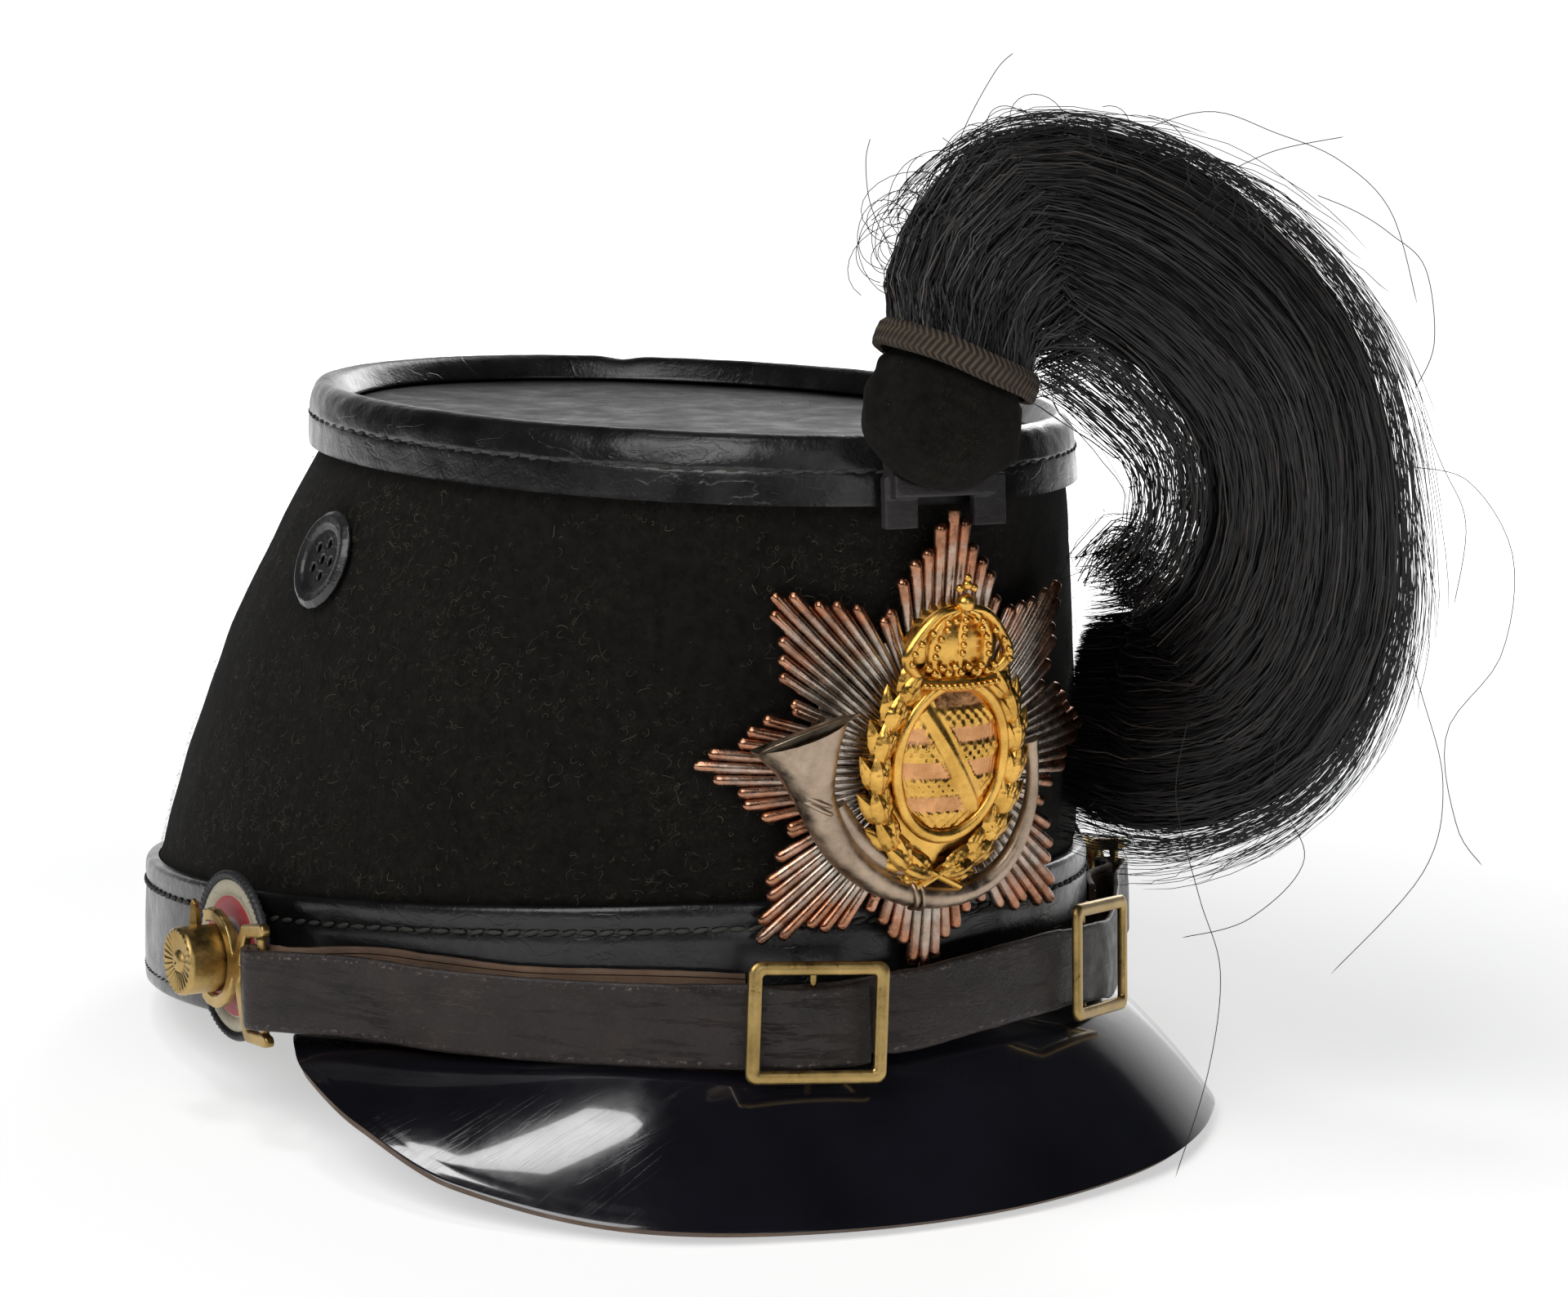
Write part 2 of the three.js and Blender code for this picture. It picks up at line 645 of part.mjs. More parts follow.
function arms() {
  const [cu, cv] = ARMS;
  const parts = [oval(cu, cv - 1.5, 14.6, 20.5, 3.0, 4.6, 1.2, 16)];
  parts.push(oval(cu, cv + 0.5, 10.6, 13.8, 3.2, 6.4, 1.0, 18));
  // raised bars and the bend across the shield
  for (const dv of [-6.6, 0.2, 7.0]) {
    const half = 8.4 * Math.sqrt(1 - (dv / 12.5) ** 2);
    parts.push(rod([cu - half, cv + 0.5 + dv], [cu + half, cv + 0.5 + dv], 0.8, 0.8, 6.1));
  }
  parts.push(rod([cu - 5.4, cv + 9.4], [cu + 6.2, cv - 8.4], 1.3, 1.3, 6.2));
  for (const side of [-1, 1]) {
    for (let i = 0; i < 8; i++) {
      const t = rad(188 - side * (14 + i * 19.5));
      const [u, v] = [15.0 * Math.sin(t), 21.2 * Math.cos(t)];
      const along = (Math.atan2(21.2 * Math.sin(t) * side, -15.0 * Math.cos(t) * side) * 180) / Math.PI;
      parts.push(leaf(cu + u, cv - 1.5 + v, along + side * 26, 8.4, 4.2, 3.4, 3.0));
    }
  }
  // crossed stems
  parts.push(rod([cu - 4.5, cv - 23.6], [cu + 4.2, cv - 16.8], 0.9, 0.8, 3.6));
  parts.push(rod([cu + 4.5, cv - 23.6], [cu - 4.2, cv - 16.8], 0.9, 0.8, 3.6));
  // crown: rim, five arches, orb and cross
  const kv = cv + 14.4;
  parts.push(oval(cu - 0.4, kv + 5.6, 8.6, 7.6, 3.0, 5.4, 2.4, 12));
  parts.push(rod([cu - 7.4, kv - 0.2], [cu + 6.8, kv - 0.2], 1.5, 1.5, 4.0));
  for (const [a, b] of [
    [-10.2, 6.6],
    [-5.8, 8.6],
    [-0.4, 9.4],
    [5.0, 8.6],
    [9.4, 6.4],
  ]) {
    parts.push(rod([cu + a * 0.66, kv], [cu + a, kv + b], 1.0, 1.5, 4.2));
    parts.push(rod([cu + a, kv + b], [cu - 0.4, kv + 12.6], 1.1, 0.8, 4.2));
  }
  parts.push(oval(cu - 0.4, kv + 13.0, 1.7, 1.7, 3.6, 6.6, 0.9, 10));
  parts.push(rod([cu - 0.4, kv + 13.2], [cu - 0.4, kv + 17.0], 0.9, 0.8, 4.0));
  parts.push(rod([cu - 2.0, kv + 15.4], [cu + 1.2, kv + 15.4], 0.7, 0.7, 4.0));
  return largest(union(parts).subtract(horn(0.45)));
}

// Plume
const BALL = [-5.0, -133.4, 106.5];
const STEM = new THREE.Vector3(0.36, -0.1, 0.93).normalize();

function plumeSocket() {
  const block = new THREE.BoxGeometry(20, 4.4, 6.4).translate(-1.4, -126.4, 96.0);
  const tabs = [-8.8, 8.8].map((x) => fromGeometry(new THREE.BoxGeometry(6.4, 1.8, 8.8).translate(x, -125.2, 92.0)));
  const link = fromGeometry(new THREE.BoxGeometry(22, 1.8, 3.2).translate(-0.6, -125.2, 94.8));
  return union([fromGeometry(block), link, ...tabs]).subtract(plumeBall(0.35));
}

function tilted(geometry, at, axis) {
  const q = new THREE.Quaternion().setFromUnitVectors(new THREE.Vector3(0, 0, 1), axis);
  const m = new THREE.Matrix4().compose(new THREE.Vector3(...at), q, new THREE.Vector3(1, 1, 1));
  return fromGeometry(geometry).transform(Array.from(m.elements));
}

function turned(rows, squash, grow) {
  const mid = (rows[0][1] + rows[rows.length - 1][1]) / 2;
  const pts = rows.map(([x, y]) => new THREE.Vector2(x && x + grow, y + (y > mid ? grow : -grow)));
  const g = new THREE.LatheGeometry(pts, 20);
  g.rotateX(Math.PI / 2);
  g.scale(1, squash, 1);
  return tilted(g, BALL, STEM);
}

function plumeBall(grow = 0) {
  const rows = [
    [0, -12.2],
    [6.5, -11.2],
    [11.4, -8.0],
    [14.2, -2.6],
    [14.4, 2.4],
    [13.4, 6.0],
    [0, 6.0],
  ];
  return turned(rows, 0.74, grow);
}

function plumeBraid(grow = 0) {
  const rows = [
    [0, 6.3],
    [14.4, 6.3],
    [15.2, 7.4],
    [15.0, 10.2],
    [14.0, 11.3],
    [0, 11.3],
  ];
  return turned(rows, 0.76, grow).translate([-0.9, 0, 0.35]);
}

// Hair: centre line of the whole tail and its half width in the plane of the tail
const HAIR = {
  x: [-2.4, -1.4, 10.0, 26.4, 43.0, 56.8, 64.6, 67.4, 65.6, 61.0, 57.6],
  y: [-134.6, -135.6, -137.0, -139.6, -142.0, -142.4, -138.0, -129.6, -117.0, -104.0, -95.0],
  z: [118.4, 128.0, 137.6, 134.4, 124.1, 108.6, 90.0, 71.1, 56.0, 50.4, 50.0],
  half: [12.6, 15.6, 16.0, 17.0, 17.6, 17.2, 17.2, 19.6, 21.4, 21.2, 19.6],
  deep: [8.0, 9.5, 10.5, 11.0, 11.5, 11.5, 11.5, 12.0, 12.0, 11.0, 8.0],
};
const LOCKS = {
  // place across the tail, place in depth, thickness shares, first and last station
  across: [-0.66, -0.3, 0.08, 0.42, 0.74, -0.5, 0.25],
  depth: [0.15, -0.35, 0.35, -0.25, 0.1, 0.5, -0.5],
  wide: [0.36, 0.42, 0.44, 0.42, 0.3, 0.34, 0.4],
  last: [9, 10, 10, 10, 10, 9, 10],
};

function plumeHair() {
  const mid = HAIR.x.map((x, i) => new THREE.Vector3(x, HAIR.y[i], HAIR.z[i]));
  const away = new THREE.Vector3(-0.5, -0.86, 0.07);
  const frames = mid.map((p, i) => {
    const a = mid[Math.max(i - 1, 0)];
    const b = mid[Math.min(i + 1, mid.length - 1)];
    const along = b.clone().sub(a).normalize();
    const deep = away.clone().addScaledVector(along, -away.dot(along)).normalize();
    const side = new THREE.Vector3().crossVectors(deep, along).normalize();
    return { p, side, deep };
  });
  const locks = LOCKS.across.map((c, j) => {
    const rings = [];
    for (let i = 0; i <= LOCKS.last[j]; i++) {
      const f = frames[i];
      const w = HAIR.half[i];
      const d = HAIR.deep[i];
      const end = i === 0 ? 0.8 : i === LOCKS.last[j] ? 0.55 : 1;
      const sway = 0.05 * Math.sin(i * 1.3 + j * 2.1);
      const list = [];
      for (let k = 0; k < 6; k++) {
        const t = (k / 6) * 2 * Math.PI + j;
        list.push(
          f.p
            .clone()
            .addScaledVector(f.side, w * (c + sway + LOCKS.wide[j] * end * Math.cos(t)))
            .addScaledVector(f.deep, d * (LOCKS.depth[j] + 0.62 * end * Math.sin(t)))
            .toArray(),
        );
      }
      rings.push(list);
    }
    return loft(rings);
  });
  return largest(union(locks).subtract(plumeBraid(0.35)).subtract(plumeBall(0.35)));
}

// Everything together
const COLORS = {
  cloth: 0x16150f,
  leather: 0x17171c,
  patent: 0x0b0b0f,
  strap: 0x3a2f2c,
  brass: 0xa8843c,
  silver: 0xa08878,
  gilt: 0xd9a429,
  horn: 0x8f8679,
  cockade: 0xd8cfae,
  felt: 0x121212,
  braid: 0x4a3a2c,
  hair: 0x0c0c0e,
};

const hat = new THREE.Group();
hat.name = "hat";

function add(name, manifold, color) {
  const m = manifold.getMesh();
  const v = new Float32Array(m.numVert * 3);
  for (let i = 0; i < m.numVert; i++)
    v.set(m.vertProperties.subarray(i * m.numProp, i * m.numProp + 3), i * 3);
  const g = new THREE.BufferGeometry();
  g.setAttribute("position", new THREE.BufferAttribute(v, 3));
  g.setIndex(new THREE.BufferAttribute(m.triVerts, 1));
  const mesh = new THREE.Mesh(g, new THREE.MeshStandardMaterial({ color, roughness: 0.6 }));
  mesh.name = name;
  hat.add(mesh);
}

const shell = bodyShell();
const ring = topBand();
const bandMade = lowerBand();
add("body_shell", shell, COLORS.cloth);
add("top_band", ring, COLORS.leather);
add("top_disc", topDisc(), COLORS.leather);
add("lower_band", bandMade, COLORS.leather);
add("peak", peak(), COLORS.patent);
add("strap_right", ribbon(STRAP_RIGHT, false), COLORS.strap);
add("strap_left", ribbon(STRAP_LEFT, true), COLORS.strap);
add("buckle_right", buckle(11.2, 3.7, 9.05, -3.7), COLORS.brass);
add("buckle_left", buckle(-29.6, 6.9, 9.2, -2.8), COLORS.brass);
for (const [name, made, color] of [
  ["cockade", cockade(), COLORS.cockade],
  ["post", post(), COLORS.brass],
  ["lug", lug(), COLORS.brass],
  ["vent", vent(), COLORS.leather],
]) {
  add(name + "_right", made, color);
  add(name + "_left", made.mirror([1, 0, 0]), color);
}
add("star_plate", star(), COLORS.silver);
add("horn", horn(), COLORS.horn);
add("gilt_arms", arms(), COLORS.gilt);
add("plume_socket", plumeSocket(), COLORS.leather);
add("plume_holder", plumeBall(), COLORS.felt);
add("plume_braid", plumeBraid(), COLORS.braid);
add("plume_hair", plumeHair(), COLORS.hair);

// Tipped back until the peak's tip and the back of the rim both touch the ground
const tilt = Math.atan2(TIP_DROP, RIM_A + TIP_OUT + RIM_A - 0.9);
hat.rotation.x = -tilt;

const group = new THREE.Group();
group.name = "shako";
group.add(hat);
group.updateMatrixWorld(true);
const box = new THREE.Box3();
hat.traverse((o) => {
  if (o.isMesh) box.expandByObject(o, true);
});
hat.position.set(-(box.min.x + box.max.x) / 2, -(box.min.y + box.max.y) / 2, -box.min.z);
group.updateMatrixWorld(true);

export default group;
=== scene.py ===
import json
import math
import random
import bpy
import numpy as np
from mathutils import Matrix, Vector, noise

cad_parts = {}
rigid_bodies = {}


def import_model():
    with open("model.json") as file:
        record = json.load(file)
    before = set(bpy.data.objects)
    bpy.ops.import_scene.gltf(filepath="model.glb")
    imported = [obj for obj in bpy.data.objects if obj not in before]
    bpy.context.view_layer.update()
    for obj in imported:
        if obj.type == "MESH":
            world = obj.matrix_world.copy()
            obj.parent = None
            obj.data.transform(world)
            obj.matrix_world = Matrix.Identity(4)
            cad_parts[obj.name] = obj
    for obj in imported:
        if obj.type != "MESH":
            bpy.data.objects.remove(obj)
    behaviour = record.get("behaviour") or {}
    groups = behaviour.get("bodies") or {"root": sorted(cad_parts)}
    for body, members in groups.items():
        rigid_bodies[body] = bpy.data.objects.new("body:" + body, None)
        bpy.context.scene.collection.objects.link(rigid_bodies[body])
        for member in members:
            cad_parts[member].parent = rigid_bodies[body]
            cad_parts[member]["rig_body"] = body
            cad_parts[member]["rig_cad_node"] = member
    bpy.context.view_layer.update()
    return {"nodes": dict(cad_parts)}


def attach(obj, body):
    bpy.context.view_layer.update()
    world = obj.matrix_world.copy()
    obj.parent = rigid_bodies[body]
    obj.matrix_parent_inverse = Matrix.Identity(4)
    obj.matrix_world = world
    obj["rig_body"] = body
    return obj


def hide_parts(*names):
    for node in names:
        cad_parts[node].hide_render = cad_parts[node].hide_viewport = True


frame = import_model()
random.seed(7)
bpy.ops.object.select_all(action="DESELECT")

# Sizes of the hat
RIM_A, RIM_B = 103.8, 87.1
LEDGE_A, LEDGE_B, LEDGE_Y, BAND_H = 102.6, 87.0, -2.2, 23.9
TOP_A, TOP_B, TOP_Y, TOP_H = 86.8, 64.6, -36.3, 99.4
TOP_RISE = math.tan(math.radians(5.3))
WALL, BAND_T, GAP = 2.4, 2.3, 0.3
TILT = math.atan2(31.8, 227.8)
# metres: where the middle of the head rim stands over the floor
HAT_FOOT = Vector((0, 0.017637, 0.014226))
HAT = Matrix.Translation(HAT_FOOT) @ Matrix.Rotation(-TILT, 4, "X") @ Matrix.Scale(0.001, 4)


def lerp(a, b, t):
    return a + (b - a) * t


def ease(x, lo, hi):
    t = min(1, max(0, (x - lo) / (hi - lo)))
    return t * t * (3 - 2 * t)


def rough(p, size, seed=0.0):
    """Smooth noise from -1 to 1 with lumps of about that size in millimetres."""
    return noise.noise(Vector((p[0] / size + seed, p[1] / size - seed, p[2] / size)))


def rim_point(deg, z, out):
    s = z / BAND_H
    t = math.radians(deg)
    a = lerp(RIM_A, LEDGE_A, s) + out
    b = lerp(RIM_B, LEDGE_B, s) + out
    return (-b * math.sin(t), s * LEDGE_Y - a * math.cos(t), z)


def body_point(deg, s, out):
    t = math.radians(deg)
    back = ease(abs((deg + 540) % 360 - 180), 55, 115)
    swell = 4 * s * (1 - s)
    inset = lerp(lerp(1.8, 3.0, back), lerp(2.0, 2.4, back), s)
    bend = lerp(0.9, 3.9, back) * swell - inset + out
    a = lerp(LEDGE_A, TOP_A, s) + bend
    b = lerp(LEDGE_B, TOP_B, s) + bend
    y0 = lerp(LEDGE_Y, TOP_Y, s)
    y = y0 - a * math.cos(t)
    return (-b * math.sin(t), y, lerp(BAND_H, TOP_H, s) + s * TOP_RISE * (y - y0))


def top_point(deg, out, up):
    t = math.radians(deg)
    y = TOP_Y - (TOP_A + out) * math.cos(t)
    return (-(TOP_B + out) * math.sin(t), y, TOP_H + up + TOP_RISE * (y - TOP_Y))


def curve_through(points, n, looped=False):
    """n + 1 places along a smooth curve through rows of numbers."""
    p = np.array(points, float)
    m = len(p)
    segments = m if looped else m - 1
    out = []
    for i in range(n + 1):
        x = i / n * segments
        k = min(int(x), segments - 1)
        t = x - k
        near = [(k + j) % m if looped else min(max(k + j, 0), m - 1) for j in (-1, 0, 1, 2)]
        a, b, c, d = (p[j] for j in near)
        square, cube = 2 * a - 5 * b + 4 * c - d, 3 * b - a - 3 * c + d
        out.append(0.5 * (2 * b + (c - a) * t + square * t * t + cube * t**3))
    return out


def pushed(p, deg, out, up=0.0):
    """The point moved outward at that bearing, and up."""
    t = math.radians(deg)
    return (p[0] - out * math.sin(t), p[1] - out * math.cos(t), p[2] + up)


def on_loop(rows, v):
    """The row at that share of the way round a closed section."""
    return rows[int(round(v * len(rows))) % len(rows)]


# Mesh helpers
def edit(*steps):
    bpy.ops.object.mode_set(mode="EDIT")
    bpy.ops.mesh.select_all(action="SELECT")
    for step in steps:
        step()
    bpy.ops.object.mode_set(mode="OBJECT")


def take(o):
    bpy.ops.object.select_all(action="DESELECT")
    o.select_set(True)
    bpy.context.view_layer.objects.active = o
    return o


def apply_all(o):
    take(o)
    for m in list(o.modifiers):
        bpy.ops.object.modifier_apply(modifier=m.name)
    return o


def close_ends(o):
    """Caps on the open ends of a tube."""
    take(o)
    bpy.ops.object.mode_set(mode="EDIT")
    bpy.ops.mesh.select_all(action="DESELECT")
    bpy.ops.mesh.select_non_manifold(extend=False)
    bpy.ops.mesh.edge_face_add()
    bpy.ops.mesh.select_all(action="SELECT")
    bpy.ops.mesh.normals_make_consistent(inside=False)
    bpy.ops.object.mode_set(mode="OBJECT")
    return o


def laid(name, nu, nv, place, closed=True, tool=HAT):
    """A fine grid laid over a surface; place(u, v) gives each point in millimetres."""
    bpy.ops.object.select_all(action="DESELECT")
    bpy.ops.mesh.primitive_grid_add(x_subdivisions=nu, y_subdivisions=nv, size=1)
    o = bpy.context.object
    o.name = o.data.name = name
    for v in o.data.vertices:
        v.co = tool @ Vector(place(v.co.x + 0.5, v.co.y + 0.5))
    if closed:
        edit(
            lambda: bpy.ops.mesh.remove_doubles(threshold=1e-6),
            lambda: bpy.ops.mesh.normals_make_consistent(inside=False),
        )
    return o


def hoops(name, rows, n, relief=None):
    """Rings of points joined into one closed wall; each row gives a point for an angle."""
    m = len(rows)

    def place(u, v):
        k = int(round(v * m)) % m
        deg = (u % 1) * 360
        p = rows[k](deg)
        return relief(p, deg, k / m) if relief else p

    return laid(name, n, m, place)


def dress(o, finish, slot, *nodes, smooth=35):
    """Finish, smoothing and the nodes that the piece stands in for (the slot argument is not used); faces keep
    their finish's number.
    """
    kept = [f.material_index for f in o.data.polygons]
    o.data.materials.clear()
    for m in finish if isinstance(finish, list) else [finish]:
        o.data.materials.append(m)
    for f, k in zip(o.data.polygons, kept):
        f.material_index = k
    take(o)
    bpy.ops.object.shade_smooth_by_angle(angle=math.radians(smooth))
    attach(o, "root")
    if nodes:
        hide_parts(*nodes)
    return o


def joined(name, parts):
    take(parts[0])
    for p in parts:
        p.select_set(True)
    bpy.ops.object.join()
    o = bpy.context.object
    o.name = o.data.name = name
    return o


def repeated(name, template, places):
    """One small mesh copied to many places, as a single piece."""
    co = np.array([v.co[:] for v in template.data.vertices])
    faces = [tuple(p.vertices) for p in template.data.polygons]
    verts, polys = [], []
    for m in places:
        a = np.array(m)
        base = len(verts)
        verts.extend((co @ a[:3, :3].T + a[:3, 3]).tolist())
        polys.extend([tuple(i + base for i in f) for f in faces])
    mesh = bpy.data.meshes.new(name)
    mesh.from_pydata(verts, [], polys)
    bpy.data.objects.remove(template)
    o = bpy.data.objects.new(name, mesh)
    bpy.context.scene.collection.objects.link(o)
    return o


def frame_of(x, y, z, place):
    m = Matrix((x, y, z)).transposed().to_4x4()
    m.translation = place
    return m


def band_frame(deg, z, out, turn=0.0):
    """Millimetre frame on the band: x along it, y up, z outward."""
    t = math.radians(deg)
    n = Vector((-math.sin(t) / RIM_B, -math.cos(t) / RIM_A, 0)).normalized()
    n.rotate(Matrix.Rotation(math.radians(turn), 3, "Z"))
    up = Vector((0, 0, 1))
    side = up.cross(n).normalized()
    return frame_of(side, up, n, Vector(rim_point(deg, z, 0)) + n * out)


MIRROR = Matrix.Scale(-1, 4, (1, 0, 0))


# Materials: colour, wear and relief from noise on object coordinates, in metres
class Paint:
    """A finish in the making: each method adds nodes and gives back a socket."""

    def __init__(self, name, rough=0.5, metal=0.0, coat=0.0, coat_rough=0.1, sheen=0.0, shine=0.5):
        self.m = bpy.data.materials.new(name)
        self.m.use_nodes = True
        self.tree = self.m.node_tree
        self.s = self.tree.nodes["Principled BSDF"]
        for socket, value in (
            ("Roughness", rough), ("Metallic", metal), ("Coat Weight", coat), ("Coat Roughness", coat_rough),
            ("Sheen Weight", sheen), ("Specular IOR Level", shine),
        ):
            self.s.inputs[socket].default_value = value
        self.coord = self.tree.nodes.new("ShaderNodeTexCoord")

    def node(self, kind, **inputs):
        n = self.tree.nodes.new(kind)
        for k, v in inputs.items():
            n.inputs[k.replace("_", " ")].default_value = v
        return n

    def link(self, a, b):
        self.tree.links.new(a, b)

    def place(self, source="Object", stretch=(1, 1, 1)):
        mapping = self.node("ShaderNodeMapping")
        mapping.inputs["Scale"].default_value = stretch
        self.link(self.coord.outputs[source], mapping.inputs["Vector"])
        return mapping.outputs["Vector"]

    def uv(self, axis):
        n = self.node("ShaderNodeSeparateXYZ")
        self.link(self.place("UV"), n.inputs[0])
        return n.outputs[axis]

    def grain(self, scale, detail=4, rough=0.55, stretch=(1, 1, 1), distort=0.0):
        n = self.node("ShaderNodeTexNoise", Scale=scale, Detail=detail, Roughness=rough, Distortion=distort)
        self.link(self.place(stretch=stretch), n.inputs["Vector"])
        return n.outputs["Fac"]

    def cells(self, scale, feature="F1"):
        n = self.node("ShaderNodeTexVoronoi", Scale=scale)
        n.feature = feature
        self.link(self.place(), n.inputs["Vector"])
        return n.outputs["Distance"]

    def ramp(self, fac, *stops):
        n = self.node("ShaderNodeValToRGB")
        e = n.color_ramp.elements
        while len(e) < len(stops):
            e.new(0.5)
        for item, (at, c) in zip(e, stops):
            item.position = at
            item.color = (c, c, c, 1) if isinstance(c, (int, float)) else (*c, 1)
        self.link(fac, n.inputs["Fac"])
        return n.outputs["Color"]

    def mix(self, fac, a, b):
        """Colour a where fac is 0 and b where it is 1."""
        n = self.node("ShaderNodeMix")
        n.data_type = "RGBA"
        self.link(fac, n.inputs["Factor"])
        for k, v in ((6, a), (7, b)):
            if isinstance(v, tuple):
                n.inputs[k].default_value = (*v, 1)
            else:
                self.link(v, n.inputs[k])
        return n.outputs[2]

    def sum(self, a, b, op="ADD"):
        n = self.node("ShaderNodeMath")
        n.operation = op
        for k, v in ((0, a), (1, b)):
            if isinstance(v, (int, float)):
                n.inputs[k].default_value = v
            else:
                self.link(v, n.inputs[k])
        return n.outputs[0]

    def colour(self, socket):
        if isinstance(socket, tuple):
            self.s.inputs["Base Color"].default_value = (*socket, 1)
        else:
            self.link(socket, self.s.inputs["Base Color"])

    def roughness(self, socket):
        self.link(socket, self.s.inputs["Roughness"])

    def relief(self, *heights):
        """Pairs of height and depth in millimetres, laid one over the other."""
        last = None
        for height, depth in heights:
            n = self.node("ShaderNodeBump", Strength=1.0, Distance=depth * 0.001)
            self.link(height, n.inputs["Height"])
            if last:
                self.link(last, n.inputs["Normal"])
            last = n.outputs["Normal"]
        self.link(last, self.s.inputs["Normal"])


def cloth_paint():
    p = Paint("black_cloth", rough=0.95, sheen=0.02, shine=0.06)
    p.s.inputs["Sheen Roughness"].default_value = 0.6
    base = p.ramp(p.grain(420, 6, 0.7), (0.35, (0.0035, 0.0032, 0.003)), (0.7, (0.0105, 0.0092, 0.0075)))
    fuzz = p.ramp(p.grain(1500, 3, 0.7, distort=1.5), (0.52, 0.0), (0.68, 1.0))
    patch = p.ramp(p.grain(60, 4), (0.42, 0.1), (0.68, 0.75))
    lint = p.mix(p.sum(fuzz, patch, "MULTIPLY"), base, (0.03, 0.026, 0.015))
    speck = p.ramp(p.cells(330), (0.0, 1.0), (0.055, 0.0))
    p.colour(p.mix(speck, lint, (0.1, 0.09, 0.07)))
    p.relief((p.grain(900, 6, 0.75), 0.35), (p.grain(160, 4), 0.5))
    return p.m


# where a ramp makes a thin line of a noise: nothing, full, nothing
HAIRLINE = ((0.485, 0.0), (0.5, 1.0), (0.515, 0.0))
CREASE = 0.04


def leather_paint(name, dark, light, rough, wear=(0.09, 0.06, 0.04), wear_low=0.66, coat=0.25, shine=0.5):
    p = Paint(name, rough=rough, coat=coat, coat_rough=0.22, shine=shine)
    base = p.ramp(p.grain(70, 6, 0.6), (0.3, dark), (0.75, light))
    worn = p.ramp(p.grain(38, 8, 0.7, distort=0.6), (wear_low, 0.0), (wear_low + 0.12, 0.8))
    p.colour(p.mix(worn, base, wear))
    p.roughness(p.ramp(p.grain(110, 6, 0.65), (0.3, rough * 0.72), (0.72, min(1, rough * 1.7))))
    p.relief(
        (p.cells(900, "DISTANCE_TO_EDGE"), 0.05),
        (p.grain(260, 6, 0.6), 0.22),
        (p.ramp(p.grain(60, 3, 0.5, stretch=(1, 1, 2.2), distort=0.5), *HAIRLINE), -CREASE),
    )
    return p.m


def patent_paint():
    p = Paint("patent_leather", rough=0.16, coat=0.8, coat_rough=0.04)
    p.colour(p.ramp(p.grain(30, 5), (0.3, (0.0035, 0.0035, 0.005)), (0.75, (0.009, 0.009, 0.014))))
    scratch = p.ramp(p.grain(45, 3, 0.4, stretch=(1, 14, 1), distort=0.8), *HAIRLINE)
    smear = p.ramp(p.grain(22, 6, 0.7), (0.4, 0.10), (0.75, 0.26))
    p.roughness(p.mix(p.sum(scratch, 0.12, "MULTIPLY"), smear, (0.4, 0.4, 0.4)))
    p.relief((p.grain(28, 4, 0.5), 0.2), (p.grain(300, 5, 0.6), 0.012), (scratch, -0.003))
    return p.m


def metal_paint(name, dark, light, rough=0.28, scale=120, bump=0.12):
    p = Paint(name, rough=rough, metal=1.0)
    p.colour(p.ramp(p.grain(scale, 7, 0.7), (0.28, dark), (0.66, light)))
    p.roughness(p.ramp(p.grain(scale * 2, 6, 0.7), (0.3, rough * 0.7), (0.75, min(1, rough * 1.9))))
    p.relief((p.grain(900, 5, 0.6), bump * 0.35), (p.grain(200, 4, 0.6), bump))
    return p.m


CLOTH = cloth_paint()
INSIDE = leather_paint("inside_leather", (0.035, 0.022, 0.014), (0.085, 0.055, 0.034), 0.62, coat=0.0)
BAND = leather_paint(
    "band_leather", (0.003, 0.0029, 0.0033), (0.0095, 0.009, 0.0098), 0.27, (0.03, 0.024, 0.02), 0.68, shine=0.36
)
CROWN = leather_paint(
    "crown_leather", (0.007, 0.0066, 0.007), (0.02, 0.0185, 0.019), 0.42, (0.06, 0.042, 0.03), 0.6, 0.1, 0.22
)
PATENT = patent_paint()
EDGE = leather_paint("raw_edge", (0.05, 0.03, 0.018), (0.13, 0.075, 0.04), 0.7, coat=0.0)


